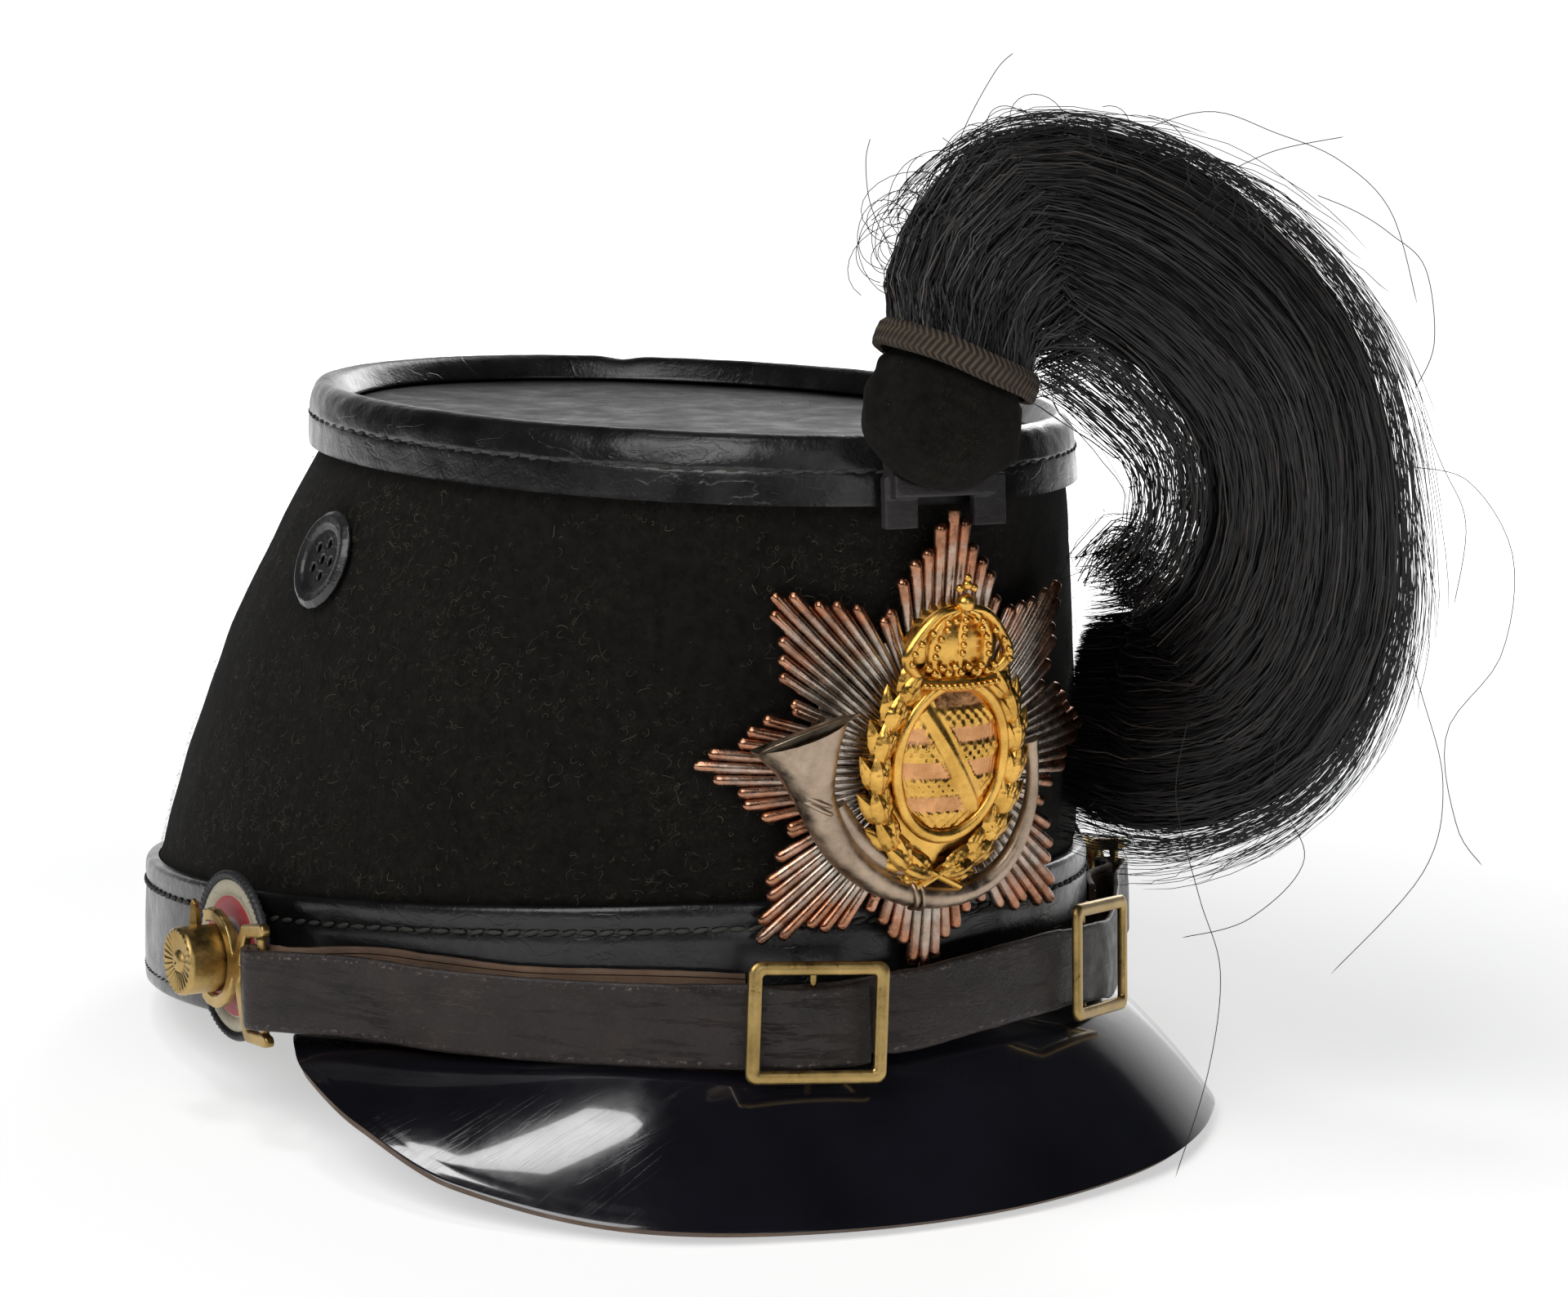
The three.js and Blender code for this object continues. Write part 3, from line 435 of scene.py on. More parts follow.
def strap_wear():
    """Pale dust in the two grooves, cracks along the strap and rusty rubbing at its edges."""
    p = Paint("strap_leather", rough=0.46, coat=0.06, coat_rough=0.3, shine=0.36)
    base = p.ramp(p.grain(120, 7, 0.65), (0.3, (0.007, 0.0047, 0.004)), (0.72, (0.026, 0.0175, 0.0148)))
    across = p.sum(1.0, p.uv("Y"), "SUBTRACT")
    lines = p.ramp(
        across,
        (0.02, 0.5), (0.07, 0.05), (0.12, 0.3), (0.145, 0.9), (0.17, 0.07),
        (0.33, 0.07), (0.357, 0.9), (0.38, 0.3), (0.45, 0.05), (0.48, 0.6),
    )
    flecks = p.ramp(p.grain(1300, 6, 0.75, stretch=(0.6, 1, 1)), (0.54, 0.0), (0.62, 1.0))
    cracks = p.ramp(p.grain(90, 7, 0.75, stretch=(0.5, 0.5, 4.5)), (0.54, 0.0), (0.575, 0.6), (0.61, 0.0))
    patches = p.ramp(p.grain(40, 3), (0.45, 0.0), (0.6, 1.0))
    dusty = p.mix(p.sum(cracks, patches, "MULTIPLY"), base, (0.1, 0.082, 0.072))
    pale = p.mix(p.sum(lines, flecks, "MULTIPLY"), dusty, (0.16, 0.13, 0.115))
    edges = p.ramp(across, (0.0, 1.0), (0.055, 0.1), (0.1, 0.0), (0.4, 0.0), (0.45, 0.1), (0.5, 1.0))
    rust = p.sum(p.ramp(p.grain(160, 8, 0.8), (0.45, 0.0), (0.6, 0.8)), edges, "MULTIPLY")
    p.colour(p.mix(rust, pale, (0.085, 0.036, 0.016)))
    p.roughness(p.ramp(p.grain(240, 6, 0.65), (0.3, 0.3), (0.72, 0.62)))
    pores, pits, bends = p.cells(1100, "DISTANCE_TO_EDGE"), p.grain(420, 7, 0.7), p.grain(90, 3)
    p.relief((pores, 0.08), (pits, 0.2), (cracks, -0.12), (bends, 0.3))
    return p.m


STRAP = strap_wear()
SUEDE = leather_paint(
    "strap_back", (0.06, 0.033, 0.02), (0.16, 0.095, 0.055), 0.85, (0.05, 0.03, 0.02), 0.58, coat=0.0
)
THREAD = leather_paint("thread", (0.012, 0.012, 0.01), (0.045, 0.042, 0.034), 0.75, coat=0.0)
BRASS = metal_paint("aged_brass", (0.24, 0.155, 0.05), (0.56, 0.39, 0.15), 0.3)
GILT = metal_paint("bright_gilt", (0.38, 0.19, 0.03), (0.88, 0.52, 0.125), 0.24, 160, 0.08)
ROSE = metal_paint("rose_gilt", (0.36, 0.16, 0.055), (0.82, 0.42, 0.19), 0.28, 260, 0.12)
HORN_METAL = metal_paint("horn_silver", (0.15, 0.11, 0.075), (0.56, 0.43, 0.32), 0.33, 150, 0.1)
LACQUER = leather_paint("black_lacquer", (0.006, 0.006, 0.007), (0.02, 0.019, 0.02), 0.3, (0.05, 0.045, 0.04))

# Cloth body: cloth outside, leather inside
outer = [lambda d: rim_point(d, 0.6, -BAND_T - GAP), lambda d: rim_point(d, BAND_H, -BAND_T - GAP)]
for i in range(34):
    outer.append(lambda d, s=0.03 + 0.97 * i / 33: body_point(d, s, 0))
outer += [lambda d: top_point(d, -2.2, 4.3), lambda d: top_point(d, -2.2 - WALL, 4.3)]
inner = [lambda d, s=s: body_point(d, s, -WALL) for s in (1, 0.8, 0.6, 0.4, 0.2, 0.05)]
inner.append(lambda d: rim_point(d, 0.6, -BAND_T - GAP - WALL))


def felt_lumps(p, deg, v):
    k = v * (len(outer) + len(inner))
    if not 2 <= k < len(outer) - 3:
        return p
    return pushed(p, deg, 0.34 * rough(p, 9) + 0.5 * rough(p, 34, 3.0))


body = hoops("cloth_body", outer + inner, 200, felt_lumps)
dress(body, [CLOTH, INSIDE], "cloth", "body_shell", smooth=60)
# the wall's inner side is leather
inv = HAT.inverted()
for f in body.data.polygons:
    c = inv @ f.center
    n = (inv.to_3x3() @ f.normal).normalized()
    away = Vector((c.x, c.y - lerp(LEDGE_Y, TOP_Y, max(0, c.z - BAND_H) / 75), 0))
    if n.dot(away) < 0:
        f.material_index = 1

# Loose fibres caught on the cloth
FIBRES, JOINTS = 6500, 6
MM_PER_DEG, WALL_RISE = 1.45, 77
LINT_SHADES = [(0.05, 0.044, 0.022), (0.036, 0.03, 0.018), (0.075, 0.058, 0.036), (0.028, 0.026, 0.021)]


def ribbons(name, paths, shades=None):
    """Flat strands: each path is a list of (left, right) edge points in metres."""
    verts, faces, tint = [], [], []
    for j, path in enumerate(paths):
        base = len(verts)
        for left, right in path:
            verts.extend([left, right])
        for i in range(len(path) - 1):
            a = base + 2 * i
            faces.append((a, a + 1, a + 3, a + 2))
        if shades:
            tint.extend([shades[j]] * (2 * len(path)))
    mesh = bpy.data.meshes.new(name)
    mesh.from_pydata(verts, [], faces)
    if shades:
        c = mesh.color_attributes.new("tint", "FLOAT_COLOR", "POINT")
        c.data.foreach_set("color", np.array([(*t, 1) for t in tint], np.float32).ravel())
    o = bpy.data.objects.new(name, mesh)
    bpy.context.scene.collection.objects.link(o)
    return o


def tinted_paint(name, rough, shine=0.5):
    p = Paint(name, rough=rough, shine=shine)
    n = p.node("ShaderNodeVertexColor")
    n.layer_name = "tint"
    p.colour(n.outputs["Color"])
    return p.m


def lint():
    paths, shades = [], []
    while len(paths) < FIBRES:
        deg = random.uniform(0, 360)
        s = random.uniform(0.02, 0.97)
        spot = body_point(deg, s, 0)
        near_front = ease(abs((deg + 540) % 360 - 180), 10, 60)
        if rough(spot, 26, 5.0) < random.uniform(-0.55, 0.6) - 0.25 * (1 - s) + 0.3 * (1 - near_front):
            continue
        size = random.uniform(0.9, 3.0)
        heading = random.uniform(0, 6.28)
        turn = random.uniform(-1.0, 1.0) * 1.1
        width = random.uniform(0.022, 0.048)
        lift = random.uniform(0.25, 0.55)
        x, z, edges = 0.0, 0.0, []
        for k in range(JOINTS + 1):
            a = heading + turn * k + 0.8 * rough((k * 3.0, len(paths), 0), 4)
            x += math.cos(a) * size / JOINTS
            z += math.sin(a) * size / JOINTS
            w = width * (0.5 if k in (0, JOINTS) else 1)
            arc = lift + 0.3 * math.sin(k / JOINTS * math.pi)
            ends = []
            for side in (-1, 1):
                dx = x - math.sin(a) * w * side
                dz = z + math.cos(a) * w * side
                spot = body_point(deg + dx / MM_PER_DEG, min(0.99, s + dz / WALL_RISE), arc)
                ends.append(HAT @ Vector(spot))
            edges.append(ends)
        paths.append(edges)
        c = random.choice(LINT_SHADES)
        g = random.uniform(0.6, 1.25)
        shades.append((c[0] * g, c[1] * g, c[2] * g))
    o = ribbons("cloth_lint", paths, shades)
    dress(o, tinted_paint("lint_fibre", 0.9), "cloth")


lint()


# Leather bands
def stitch_row(name, spot, count, length, thick):
    """Short raised stitches; spot(t) gives a point and an outward point for a share of the way round."""
    bpy.ops.object.select_all(action="DESELECT")
    bpy.ops.mesh.primitive_uv_sphere_add(segments=8, ring_count=6, radius=0.5)
    one = bpy.context.object
    places = []
    for i in range(count):
        t = i / count
        a, b = (Vector(spot((t + d / 4000) % 1, 0)) for d in (-1, 1))
        mid, lifted = Vector(spot(t, 0)), Vector(spot(t, 1))
        along = (b - a).normalized()
        out = (lifted - mid).normalized()
        across = out.cross(along).normalized()
        lean = along + across * random.uniform(-0.1, 0.3)
        lean.normalize()
        across = out.cross(lean)
        m = Matrix.Identity(4)
        for r in range(3):
            m[r][0] = lean[r] * length * random.uniform(0.9, 1.05)
            m[r][1] = across[r] * thick
            m[r][2] = out[r] * thick * 0.8
            m[r][3] = mid[r]
        places.append(HAT @ m)
    dress(repeated(name, one, places), THREAD, "band_leather")


BAND_STITCH = BAND_H - 4.6
band_rows = [
    (0.0, -1.1), (0.12, -0.5), (0.5, -0.12), (1.2, 0.0),
    (2.4, 0.03), (2.9, -0.1), (3.4, 0.02), (6, 0.1), (9, 0.12),
    (12, 0.12), (15, 0.1), (17.2, 0.04), (18.4, 0.02),
    (18.9, -0.14), (BAND_STITCH, -0.26), (19.7, -0.14), (20.2, 0.05),
    (21.6, 0.16), (22.8, 0.12), (23.4, -0.05),
    (23.75, -0.35), (BAND_H, -0.9), (BAND_H, -BAND_T), (0.0, -BAND_T),
]


def band_waves(p, deg, v):
    z = p[2]
    if v * len(band_rows) > 21.5 or z > BAND_H - 0.2:
        return p
    crest = math.sin(max(0.0, min(1.0, z / BAND_H)) * math.pi)
    waves = 0.28 * rough(p, 17, 2.0) + 0.34 * rough(p, 48, 8.0) + 0.08 * rough(p, 5, 4.0)
    return pushed(p, deg, crest * waves)


band = hoops("head_band", [lambda d, r=r: rim_point(d, *r) for r in band_rows], 260, band_waves)
dress(band, BAND, "band_leather", "lower_band", smooth=50)
stitch_row("band_stitches", lambda t, k: rim_point(t * 360, BAND_STITCH, 0.06 + k), 176, 3.1, 0.95)
stitch_row("hem_stitches", lambda t, k: rim_point(t * 360, 2.9, 0.02 + k), 190, 2.4, 0.42)

RING = [
    (0.4, 0.0), (0.55, 0.35), (0.52, 2.2), (0.42, 5.0),
    (0.25, 5.7), (0.36, 6.3), (0.2, 7.6), (-0.15, 9.1), (-0.7, 10.3),
    (-1.6, 11.3), (-2.9, 11.75), (-4.1, 11.4), (-5.1, 10.6), (-6.3, 9.0), (-7.2, 7.6), (-6.8, 7.2), (-5.6, 7.2),
    (-4.2, 8.2), (-2.9, 8.8), (-2.2, 7.0), (-1.6, 5.0), (-1.5, 0.0),
]
ring_rows = curve_through(RING, 64, looped=True)[:-1]


def ring_folds(p, deg, v):
    if v > 0.66:
        return p
    ridge = math.sin(min(1, v / 0.62) * math.pi)
    creases = rough((deg * 0.9, v * 26, 0), 2.2, 1.0)
    a = ridge * (0.3 * rough(p, 14, 6.0) + 0.16 * creases + 0.25 * rough(p, 42, 3.0))
    dent = 0.9 * math.exp(-(((deg - 207) / 2.6) ** 2)) + 0.5 * math.exp(-(((deg - 122) / 2.2) ** 2))
    return pushed(p, deg, a, 0.5 * a - ridge * dent)


ring_hoops = [lambda d, r=r: top_point(d, r[0], max(0.0, r[1])) for r in ring_rows]
crown_band = hoops("crown_band", ring_hoops, 280, ring_folds)
dress(crown_band, BAND, "band_leather", "top_band", smooth=50)
stitch_row("crown_stitches", lambda t, k: top_point(t * 360, 0.3 + k, 5.75), 118, 2.6, 0.7)


# the disc sits this far up inside the ring, and sags a little in the middle
DISC_UP, DISC_SAG = 6.8, 0.5


def disc_place(u, v):
    r = math.sin(v * math.pi / 2)
    x, y, z = top_point(u * 360, -3.0, 0)
    p = (lerp(0, x, r), lerp(TOP_Y, y, r), lerp(TOP_H, z, r) + DISC_UP)
    return (p[0], p[1], p[2] - DISC_SAG * (1 - r * r) + 0.22 * rough(p, 30, 1.0))


disc = laid("crown_disc", 160, 30, disc_place)
disc.modifiers.new("thick", "SOLIDIFY").thickness = 0.002
disc.modifiers["thick"].offset = -1
apply_all(disc)
dress(disc, CROWN, "crown_leather", "top_disc")

# Peak
PEAK_SPAN, PEAK_SEAT, PEAK_DOWN = 139, 4.8, 0.3
PEAK_DEG = [0, 15, 30, 45, 54, 62, 66.5, 69.5]
PEAK_OUT = [21.1, 22.3, 25.2, 24.7, 22.0, 14.8, 7.2, 2.0]
PEAK_DROP = [31.8, 31.1, 28.7, 21.8, 12.8, 5.8, 3.7, 2.9]
PEAK_OUT_LEFT = [21.1, 22.2, 25.0, 24.6, 18.4, 9.6, 4.6, 1.6]
PEAK_DROP_LEFT = [31.8, 31.1, 29.1, 26.4, 20.6, 12.0, 6.8, 4.2]


def eased(xs, ys, x):
    """Smooth curve through a table that never overshoots it."""
    n = len(xs)
    if x >= xs[-1]:
        return ys[-1]

    def slope(i):
        if i <= 0 or i >= n - 1:
            return 0.0
        a = (ys[i] - ys[i - 1]) / (xs[i] - xs[i - 1])
        b = (ys[i + 1] - ys[i]) / (xs[i + 1] - xs[i])
        return 0.0 if a * b <= 0 else 2 * a * b / (a + b)

    i = 0
    while x > xs[i + 1]:
        i += 1
    h = xs[i + 1] - xs[i]
    t = (x - xs[i]) / h
    end = (ys[-1] - ys[-2]) / h if i == n - 2 else slope(i + 1)
    return (
        (2 * t**3 - 3 * t**2 + 1) * ys[i]
        + (t**3 - 2 * t**2 + t) * h * slope(i)
        + (3 * t**2 - 2 * t**3) * ys[i + 1]
        + (t**3 - t**2) * h * end
    )


def peak_place(u, v):
    deg = (u - 0.5) * PEAK_SPAN
    a = abs(deg)
    w = eased(PEAK_DEG, PEAK_OUT_LEFT if deg < 0 else PEAK_OUT, a)
    low = eased(PEAK_DEG, PEAK_DROP_LEFT if deg < 0 else PEAK_DROP, a)
    d = max(low - 1.9, 0.9)
    k = max(0.0, (v - 0.1) / 0.9)
    swell = 1.4 * min(1, w / 20) * 4 * k * (1 - k)
    length = math.hypot(w, d)
    out = w * k + swell * d / length
    drop = PEAK_DOWN + (d - PEAK_DOWN) * k - swell * w / length
    if v < 0.1:
        out = -PEAK_SEAT * (1 - v / 0.1)
        drop = PEAK_DOWN
    # pressed line just inside the edge
    groove = 0.06 * math.exp(-(((1 - k) * length - 2.6) / 0.45) ** 2)
    x, y, _ = rim_point(deg, 0, out)
    lump = 0.35 * rough((x, y, drop), 38, 2.0) * min(1, k * 3)
    return (x, y, -drop - groove + lump * 0.5)


peak = laid("peak_shell", 260, 56, peak_place, closed=False)
if sum(f.normal.z for f in peak.data.polygons) < 0:
    take(peak)
    edit(bpy.ops.mesh.flip_normals)
peak.data.materials.append(PATENT)
peak.data.materials.append(EDGE)
thick = peak.modifiers.new("thick", "SOLIDIFY")
thick.thickness = 0.0019
thick.offset = -1
thick.use_even_offset = True
thick.material_offset_rim = 1
soft = peak.modifiers.new("soft", "BEVEL")
soft.width = 0.0006
soft.segments = 3
soft.limit_method = "ANGLE"
soft.angle_limit = math.radians(50)
apply_all(peak)
dress(peak, [PATENT, EDGE], "patent_leather", "peak", smooth=50)

# Side fittings: cockade, knob and forked lug on one axis
POST_DEG, POST_Z, POST_TURN = 78.1, 12.2, -9


def post_frame(out):
    return band_frame(POST_DEG, POST_Z, out, POST_TURN)


def turned(name, rows, frame_mm, n, relief):
    """A round piece: rows of (radius, height) swept about the frame's own outward axis."""
    m = len(rows) - 1

    def place(u, v):
        t = u * 2 * math.pi
        r, h = relief(t, *rows[int(round(v * m))])
        return (r * math.cos(t), r * math.sin(t), h)

    return laid(name, n, m, place, tool=HAT @ frame_mm)


def cockade_paint():
    """Rings from the middle out: worn centre, red, pale, black."""
    p = Paint("cockade_paint", rough=0.5)
    wob = p.sum(p.uv("Y"), p.sum(p.grain(500, 3), 0.02, "MULTIPLY"))
    rings = p.ramp(
        wob,
        (0.0, (0.20, 0.18, 0.16)), (0.15, (0.24, 0.21, 0.2)),
        (0.165, (0.28, 0.022, 0.03)), (0.265, (0.34, 0.028, 0.035)),
        (0.285, (0.36, 0.32, 0.23)), (0.54, (0.42, 0.38, 0.28)),
        (0.56, (0.012, 0.012, 0.014)), (1.0, (0.02, 0.02, 0.022)),
    )
    chips = p.ramp(p.grain(420, 6, 0.75), (0.6, 0.0), (0.66, 1.0))
    p.colour(p.mix(p.sum(chips, 0.7, "MULTIPLY"), rings, (0.16, 0.14, 0.11)))
    p.relief((p.grain(700, 5, 0.7), 0.12))
    return p.m


COCKADE = cockade_paint()
COCKADE_ROWS = [
    (0.0, 1.5), (3.0, 1.55), (6.0, 1.6), (9.0, 1.6),
    (10.8, 1.55), (11.2, 1.3), (11.6, 1.55), (12.6, 1.75), (13.5, 1.6),
    (13.9, 1.3), (14.1, 1.7), (14.6, 2.0), (15.1, 1.9), (15.5, 1.3), (15.4, 0.6), (13.6, 0.0), (0.0, 0.0),
]


def milled(t, r, h):
    if r > 14.0 and h > 0.5:
        return r, h + 0.12 * math.cos(t * 76)
    if 11.5 < r < 13.7 and h > 1.0:
        return r, h + 0.05 * math.cos(t * 60)
    return r, h


KNOB_ROWS = [
    (0.0, 0.0), (6.0, 0.0), (6.1, 4.0), (6.12, 8.8),
    (6.2, 9.3), (6.1, 9.9), (5.7, 10.25), (5.2, 10.2), (2.7, 10.0),
    (2.1, 9.7), (1.7, 10.2), (1.0, 10.55), (0.5, 10.5), (0.2, 10.3), (0.0, 10.3),
]


def ribbed(t, r, h):
    if 2.4 < r < 5.4 and h > 9.9:
        return r, h + 0.16 * math.cos(t * 26) * min(1, (r - 2.2) / 1.5)
    return r, h


def cast_copy(name, node, voxel, smooth_times, finish, slot):
    """A cast piece: the plain solid remeshed and softened."""
    src = frame["nodes"][node]
    o = src.copy()
    o.data = src.data.copy()
    bpy.context.scene.collection.objects.link(o)
    o.parent = None
    o.name = o.data.name = name
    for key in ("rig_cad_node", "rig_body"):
        if key in o:
            del o[key]
    take(o)
    edit(lambda: bpy.ops.mesh.remove_doubles(threshold=1e-6))
    mod = o.modifiers.new("even", "REMESH")
    mod.mode = "VOXEL"
    mod.voxel_size = voxel
    mod = o.modifiers.new("soft", "SMOOTH")
    mod.factor = 0.5
    mod.iterations = smooth_times
    apply_all(o)
    return dress(o, finish, slot, node, smooth=60)


def prong_place(u, v):
    """Small pointed tooth on the knob's upper side."""
    t = u * 2 * math.pi
    tip = min(1, 8 * (1 - v))
    x = -1.6 + (0.75 - 0.45 * v) * math.cos(t) * tip
    return (x, 5.0 + 5.9 * v, 5.7 + (1.2 - 0.5 * v) * math.sin(t) * tip)


for side, flip in (("right", Matrix.Identity(4)), ("left", MIRROR)):
    c = turned("cockade_" + side + "_disc", COCKADE_ROWS, flip @ post_frame(1.8), 304, milled)
    dress(c, COCKADE, "cockade_paint", "cockade_" + side, smooth=50)
    knob = turned("knob_" + side, KNOB_ROWS, flip @ post_frame(3.8), 208, ribbed)
    prong = laid("prong", 4, 8, prong_place, tool=HAT @ flip @ post_frame(3.8))
    o = joined("knob_" + side, [knob, prong])
    dress(o, BRASS, "brass", "post_" + side, smooth=50)
    cast_copy("fork_" + side, "lug_" + side, 0.00026, 6, BRASS, "brass")
    cast_copy("grommet_" + side, "vent_" + side, 0.00026, 5, LACQUER, "vent_paint")


# Straps: stations run along the path as (plan x, plan y, upper edge, lower edge)
def by_post(along, out):
    f = band_frame(POST_DEG, 0, 0, POST_TURN)
    p = f @ Vector((along, 0, out))
    return p.x, p.y


def by_band(deg, out):
    return rim_point(deg, 0, out)[:2]


FOLD = [
    (by_post(26, 1.4), 16.2, 2.0), (by_post(21, 4.1), 16.4, 2.0), (by_post(18.2, 4.6), 16.3, 2.0),
    (by_post(16.6, 5.3), 16.2, 1.9), (by_post(15.9, 6.5), 16.1, 1.9), (by_post(16.6, 7.7), 16.1, 1.8),
    (by_post(18.2, 8.4), 16.0, 1.8), (by_post(22, 8.1), 15.9, 1.7),
]
STRAP_RIGHT = [
    (by_band(17.8, 2.6), 11.8, 1.4), (by_band(24, 2.1), 12.7, 1.4), (by_band(31, 1.9), 13.3, 1.4),
    (by_band(41, 1.9), 13.8, 1.4), (by_band(51, 1.9), 15.3, 1.6), (by_band(58.5, 2.1), 16.2, 1.8), *FOLD,
    (by_band(60.2, 8.6), 15.6, 1.1), (by_band(55, 7.3), 14.8, 0.3), (by_band(50, 6.3), 13.7, -0.7),
    (by_band(41, 5.2), 12.5, -2.0), (by_band(31, 5.2), 11.5, -2.9), (by_band(25, 5.9), 11.1, -3.4),
    (by_band(19.6, 6.9), 10.9, -3.9), (by_band(16.4, 7.5), 10.3, -4.4), (by_band(13.6, 7.9), 9.6, -4.7),
    (by_band(10.5, 7.9), 9.4, -4.6), (by_band(7.6, 7.6), 9.6, -4.8), (by_band(5.2, 7.0), 9.9, -4.6),
]
STRAP_LEFT = [
    (by_band(52, 1.9), 15.2, 1.6), (by_band(58.5, 2.1), 16.2, 1.8), *FOLD,
    (by_band(61, 8.4), 15.4, 0.9), (by_band(55, 7.0), 14.4, 0.2), (by_band(48, 6.2), 12.8, -1.4),
    (by_band(43, 6.4), 12.0, -2.6), (by_band(38.6, 6.8), 11.8, -2.9), (by_band(35.4, 7.5), 12.2, -2.1),
    (by_band(32, 7.9), 12.8, -1.3), (by_band(28.2, 7.9), 13.1, -1.0), (by_band(24.6, 7.4), 13.2, -0.6),
    (by_band(21.6, 6.9), 13.5, -0.9), (by_band(15, 6.4), 13.0, -1.3), (by_band(8, 6.2), 12.1, -2.1),
    (by_band(2, 6.2), 11.1, -3.2), (by_band(-2.2, 6.0), 10.7, -3.5), (by_band(-5.6, 5.0), 10.0, -2.6),
    (by_band(-9.5, 4.2), 9.6, -0.6), (by_band(-15.5, 4.0), 9.6, 0.6),
]
# across the strap from upper to lower edge: (share of the width, share of the half thickness)
FACE = [
    (0.0, 0.2), (0.012, 0.7), (0.035, 0.95), (0.075, 1.0), (0.09, 0.5), (0.105, 1.0), (0.3, 1.12), (0.5, 1.16),
    (0.7, 1.12), (0.895, 1.0), (0.91, 0.5), (0.925, 1.0), (0.965, 0.95), (0.988, 0.7), (1.0, 0.2),
]
STRAP_T = 1.4
GRAIN_SIDE = -1


def strap(name, stations, flip, node):
    rows = curve_through([(*p, a, b) for p, a, b in stations], len(stations) * 9)
    n = len(rows) - 1
    loop = FACE + [(f, -k * 0.9) for f, k in reversed(FACE) if f not in (0.09, 0.91)]

    def place(u, v):
        i = int(round(u * n))
        x, y, top, low = rows[i]
        a, b = rows[max(i - 1, 0)], rows[min(i + 1, n)]
        d = math.hypot(b[0] - a[0], b[1] - a[1])
        nx, ny = -(b[1] - a[1]) / d, (b[0] - a[0]) / d
        share, k = on_loop(loop, v)
        z = lerp(top, low, share)
        edge = 0.10 * rough((i * 0.9, share * 3, 1.0), 2.2, 9.0) if share in (0.0, 1.0) else 0
        off = k * STRAP_T * 0.5 + 0.05 * rough((i * 1.2, z, 0), 3.0, 5.0)
        return (x + nx * off, y + ny * off, z + edge)

    o = close_ends(laid(name, n, len(loop), place, tool=HAT @ flip))
    dress(o, [STRAP, SUEDE], "strap_leather", node, smooth=55)
    # grain side and suede side, told apart by which way each face looks from the path
    back = (HAT @ flip).inverted()
    centres = np.array([r[:2] for r in rows])
    for f in o.data.polygons:
        c = back @ f.center
        k = int(np.argmin(((centres - np.array([c.x, c.y])) ** 2).sum(1)))
        a, b = rows[max(k - 1, 0)], rows[min(k + 1, n)]
        side = (c.x - rows[k][0]) * -(b[1] - a[1]) + (c.y - rows[k][1]) * (b[0] - a[0])
        f.material_index = 0 if side * GRAIN_SIDE > 0 else 1


strap("strap_long", STRAP_RIGHT, Matrix.Identity(4), "strap_right")
strap("strap_plain", STRAP_LEFT, MIRROR, "strap_left")


# Buckles
def rounded(w, h, r, t):
    """Point on a rounded rectangle for a share of the way round, corner by corner."""
    q, f = divmod((t % 1) * 4, 1)
    q = int(q)
    cx = (1 if q in (0, 3) else -1) * (w / 2 - r)
    cy = (1 if q < 2 else -1) * (h / 2 - r)
    if f < 0.5:
        a = (q + f * 2) * math.pi / 2
        return (cx + r * math.cos(a), cy + r * math.sin(a))
    a = (q + 1) * math.pi / 2
    x0, y0 = cx + r * math.cos(a), cy + r * math.sin(a)
    k = (q + 1) % 4
    nx = (1 if k in (0, 3) else -1) * (w / 2 - r) + r * math.cos(a)
    ny = (1 if k < 2 else -1) * (h / 2 - r) + r * math.sin(a)
    g = (f - 0.5) * 2
    return (lerp(x0, nx, g), lerp(y0, ny, g))


BUCKLE_SECTION = [
    (0.0, 0.3), (0.0, 1.0), (0.06, 1.28), (0.2, 1.42),
    (0.4, 1.5), (0.6, 1.48), (0.8, 1.34), (0.93, 1.12), (1.0, 0.8),
    (1.0, 0.25), (0.92, 0.05), (0.5, 0.0), (0.1, 0.03),
]


# width, height and corner of the frame's opening and of its outline
BUCKLE_HOLE, BUCKLE_RIM = (20.4, 16.4, 0.6), (25.2, 21.0, 2.0)
# the hidden bar's bent path behind the frame
BAR = [(-9.4, 0.4), (-9.3, -2.2), (-8.2, -2.7), (9.0, -2.7), (9.7, -2.2), (9.8, 0.4)]


def bar_place(u, v):
    y, h = BAR[int(round(v * (len(BAR) - 1)))]
    t = u * 2 * math.pi
    side = 0.4 * math.sin(t)
    if abs(h) < 2.5:
        return (0.6 * math.cos(t), y + side, h)
    return (0.6 * math.cos(t), y, h + side)


def buckle(name, deg, z, out, roll, node):
    at = band_frame(deg, z, out) @ Matrix.Rotation(math.radians(roll), 4, "Z")

    def place(u, v):
        w, h = on_loop(BUCKLE_SECTION, v)
        a = rounded(*BUCKLE_HOLE, u)
        b = rounded(*BUCKLE_RIM, u)
        return (lerp(a[0], b[0], w), lerp(a[1], b[1], w), h)

    ring = laid(name, 96, len(BUCKLE_SECTION), place, tool=HAT @ at)
    bar = laid("bar", 10, len(BAR) - 1, bar_place, tool=HAT @ at)
    o = joined(name, [ring, bar])
    dress(o, BRASS, "brass", node, smooth=50)


buckle("buckle_near", 11.2, 3.7, 8.9, -3.7, "buckle_right")
buckle("buckle_far", -29.6, 6.9, 8.9, -2.8, "buckle_left")

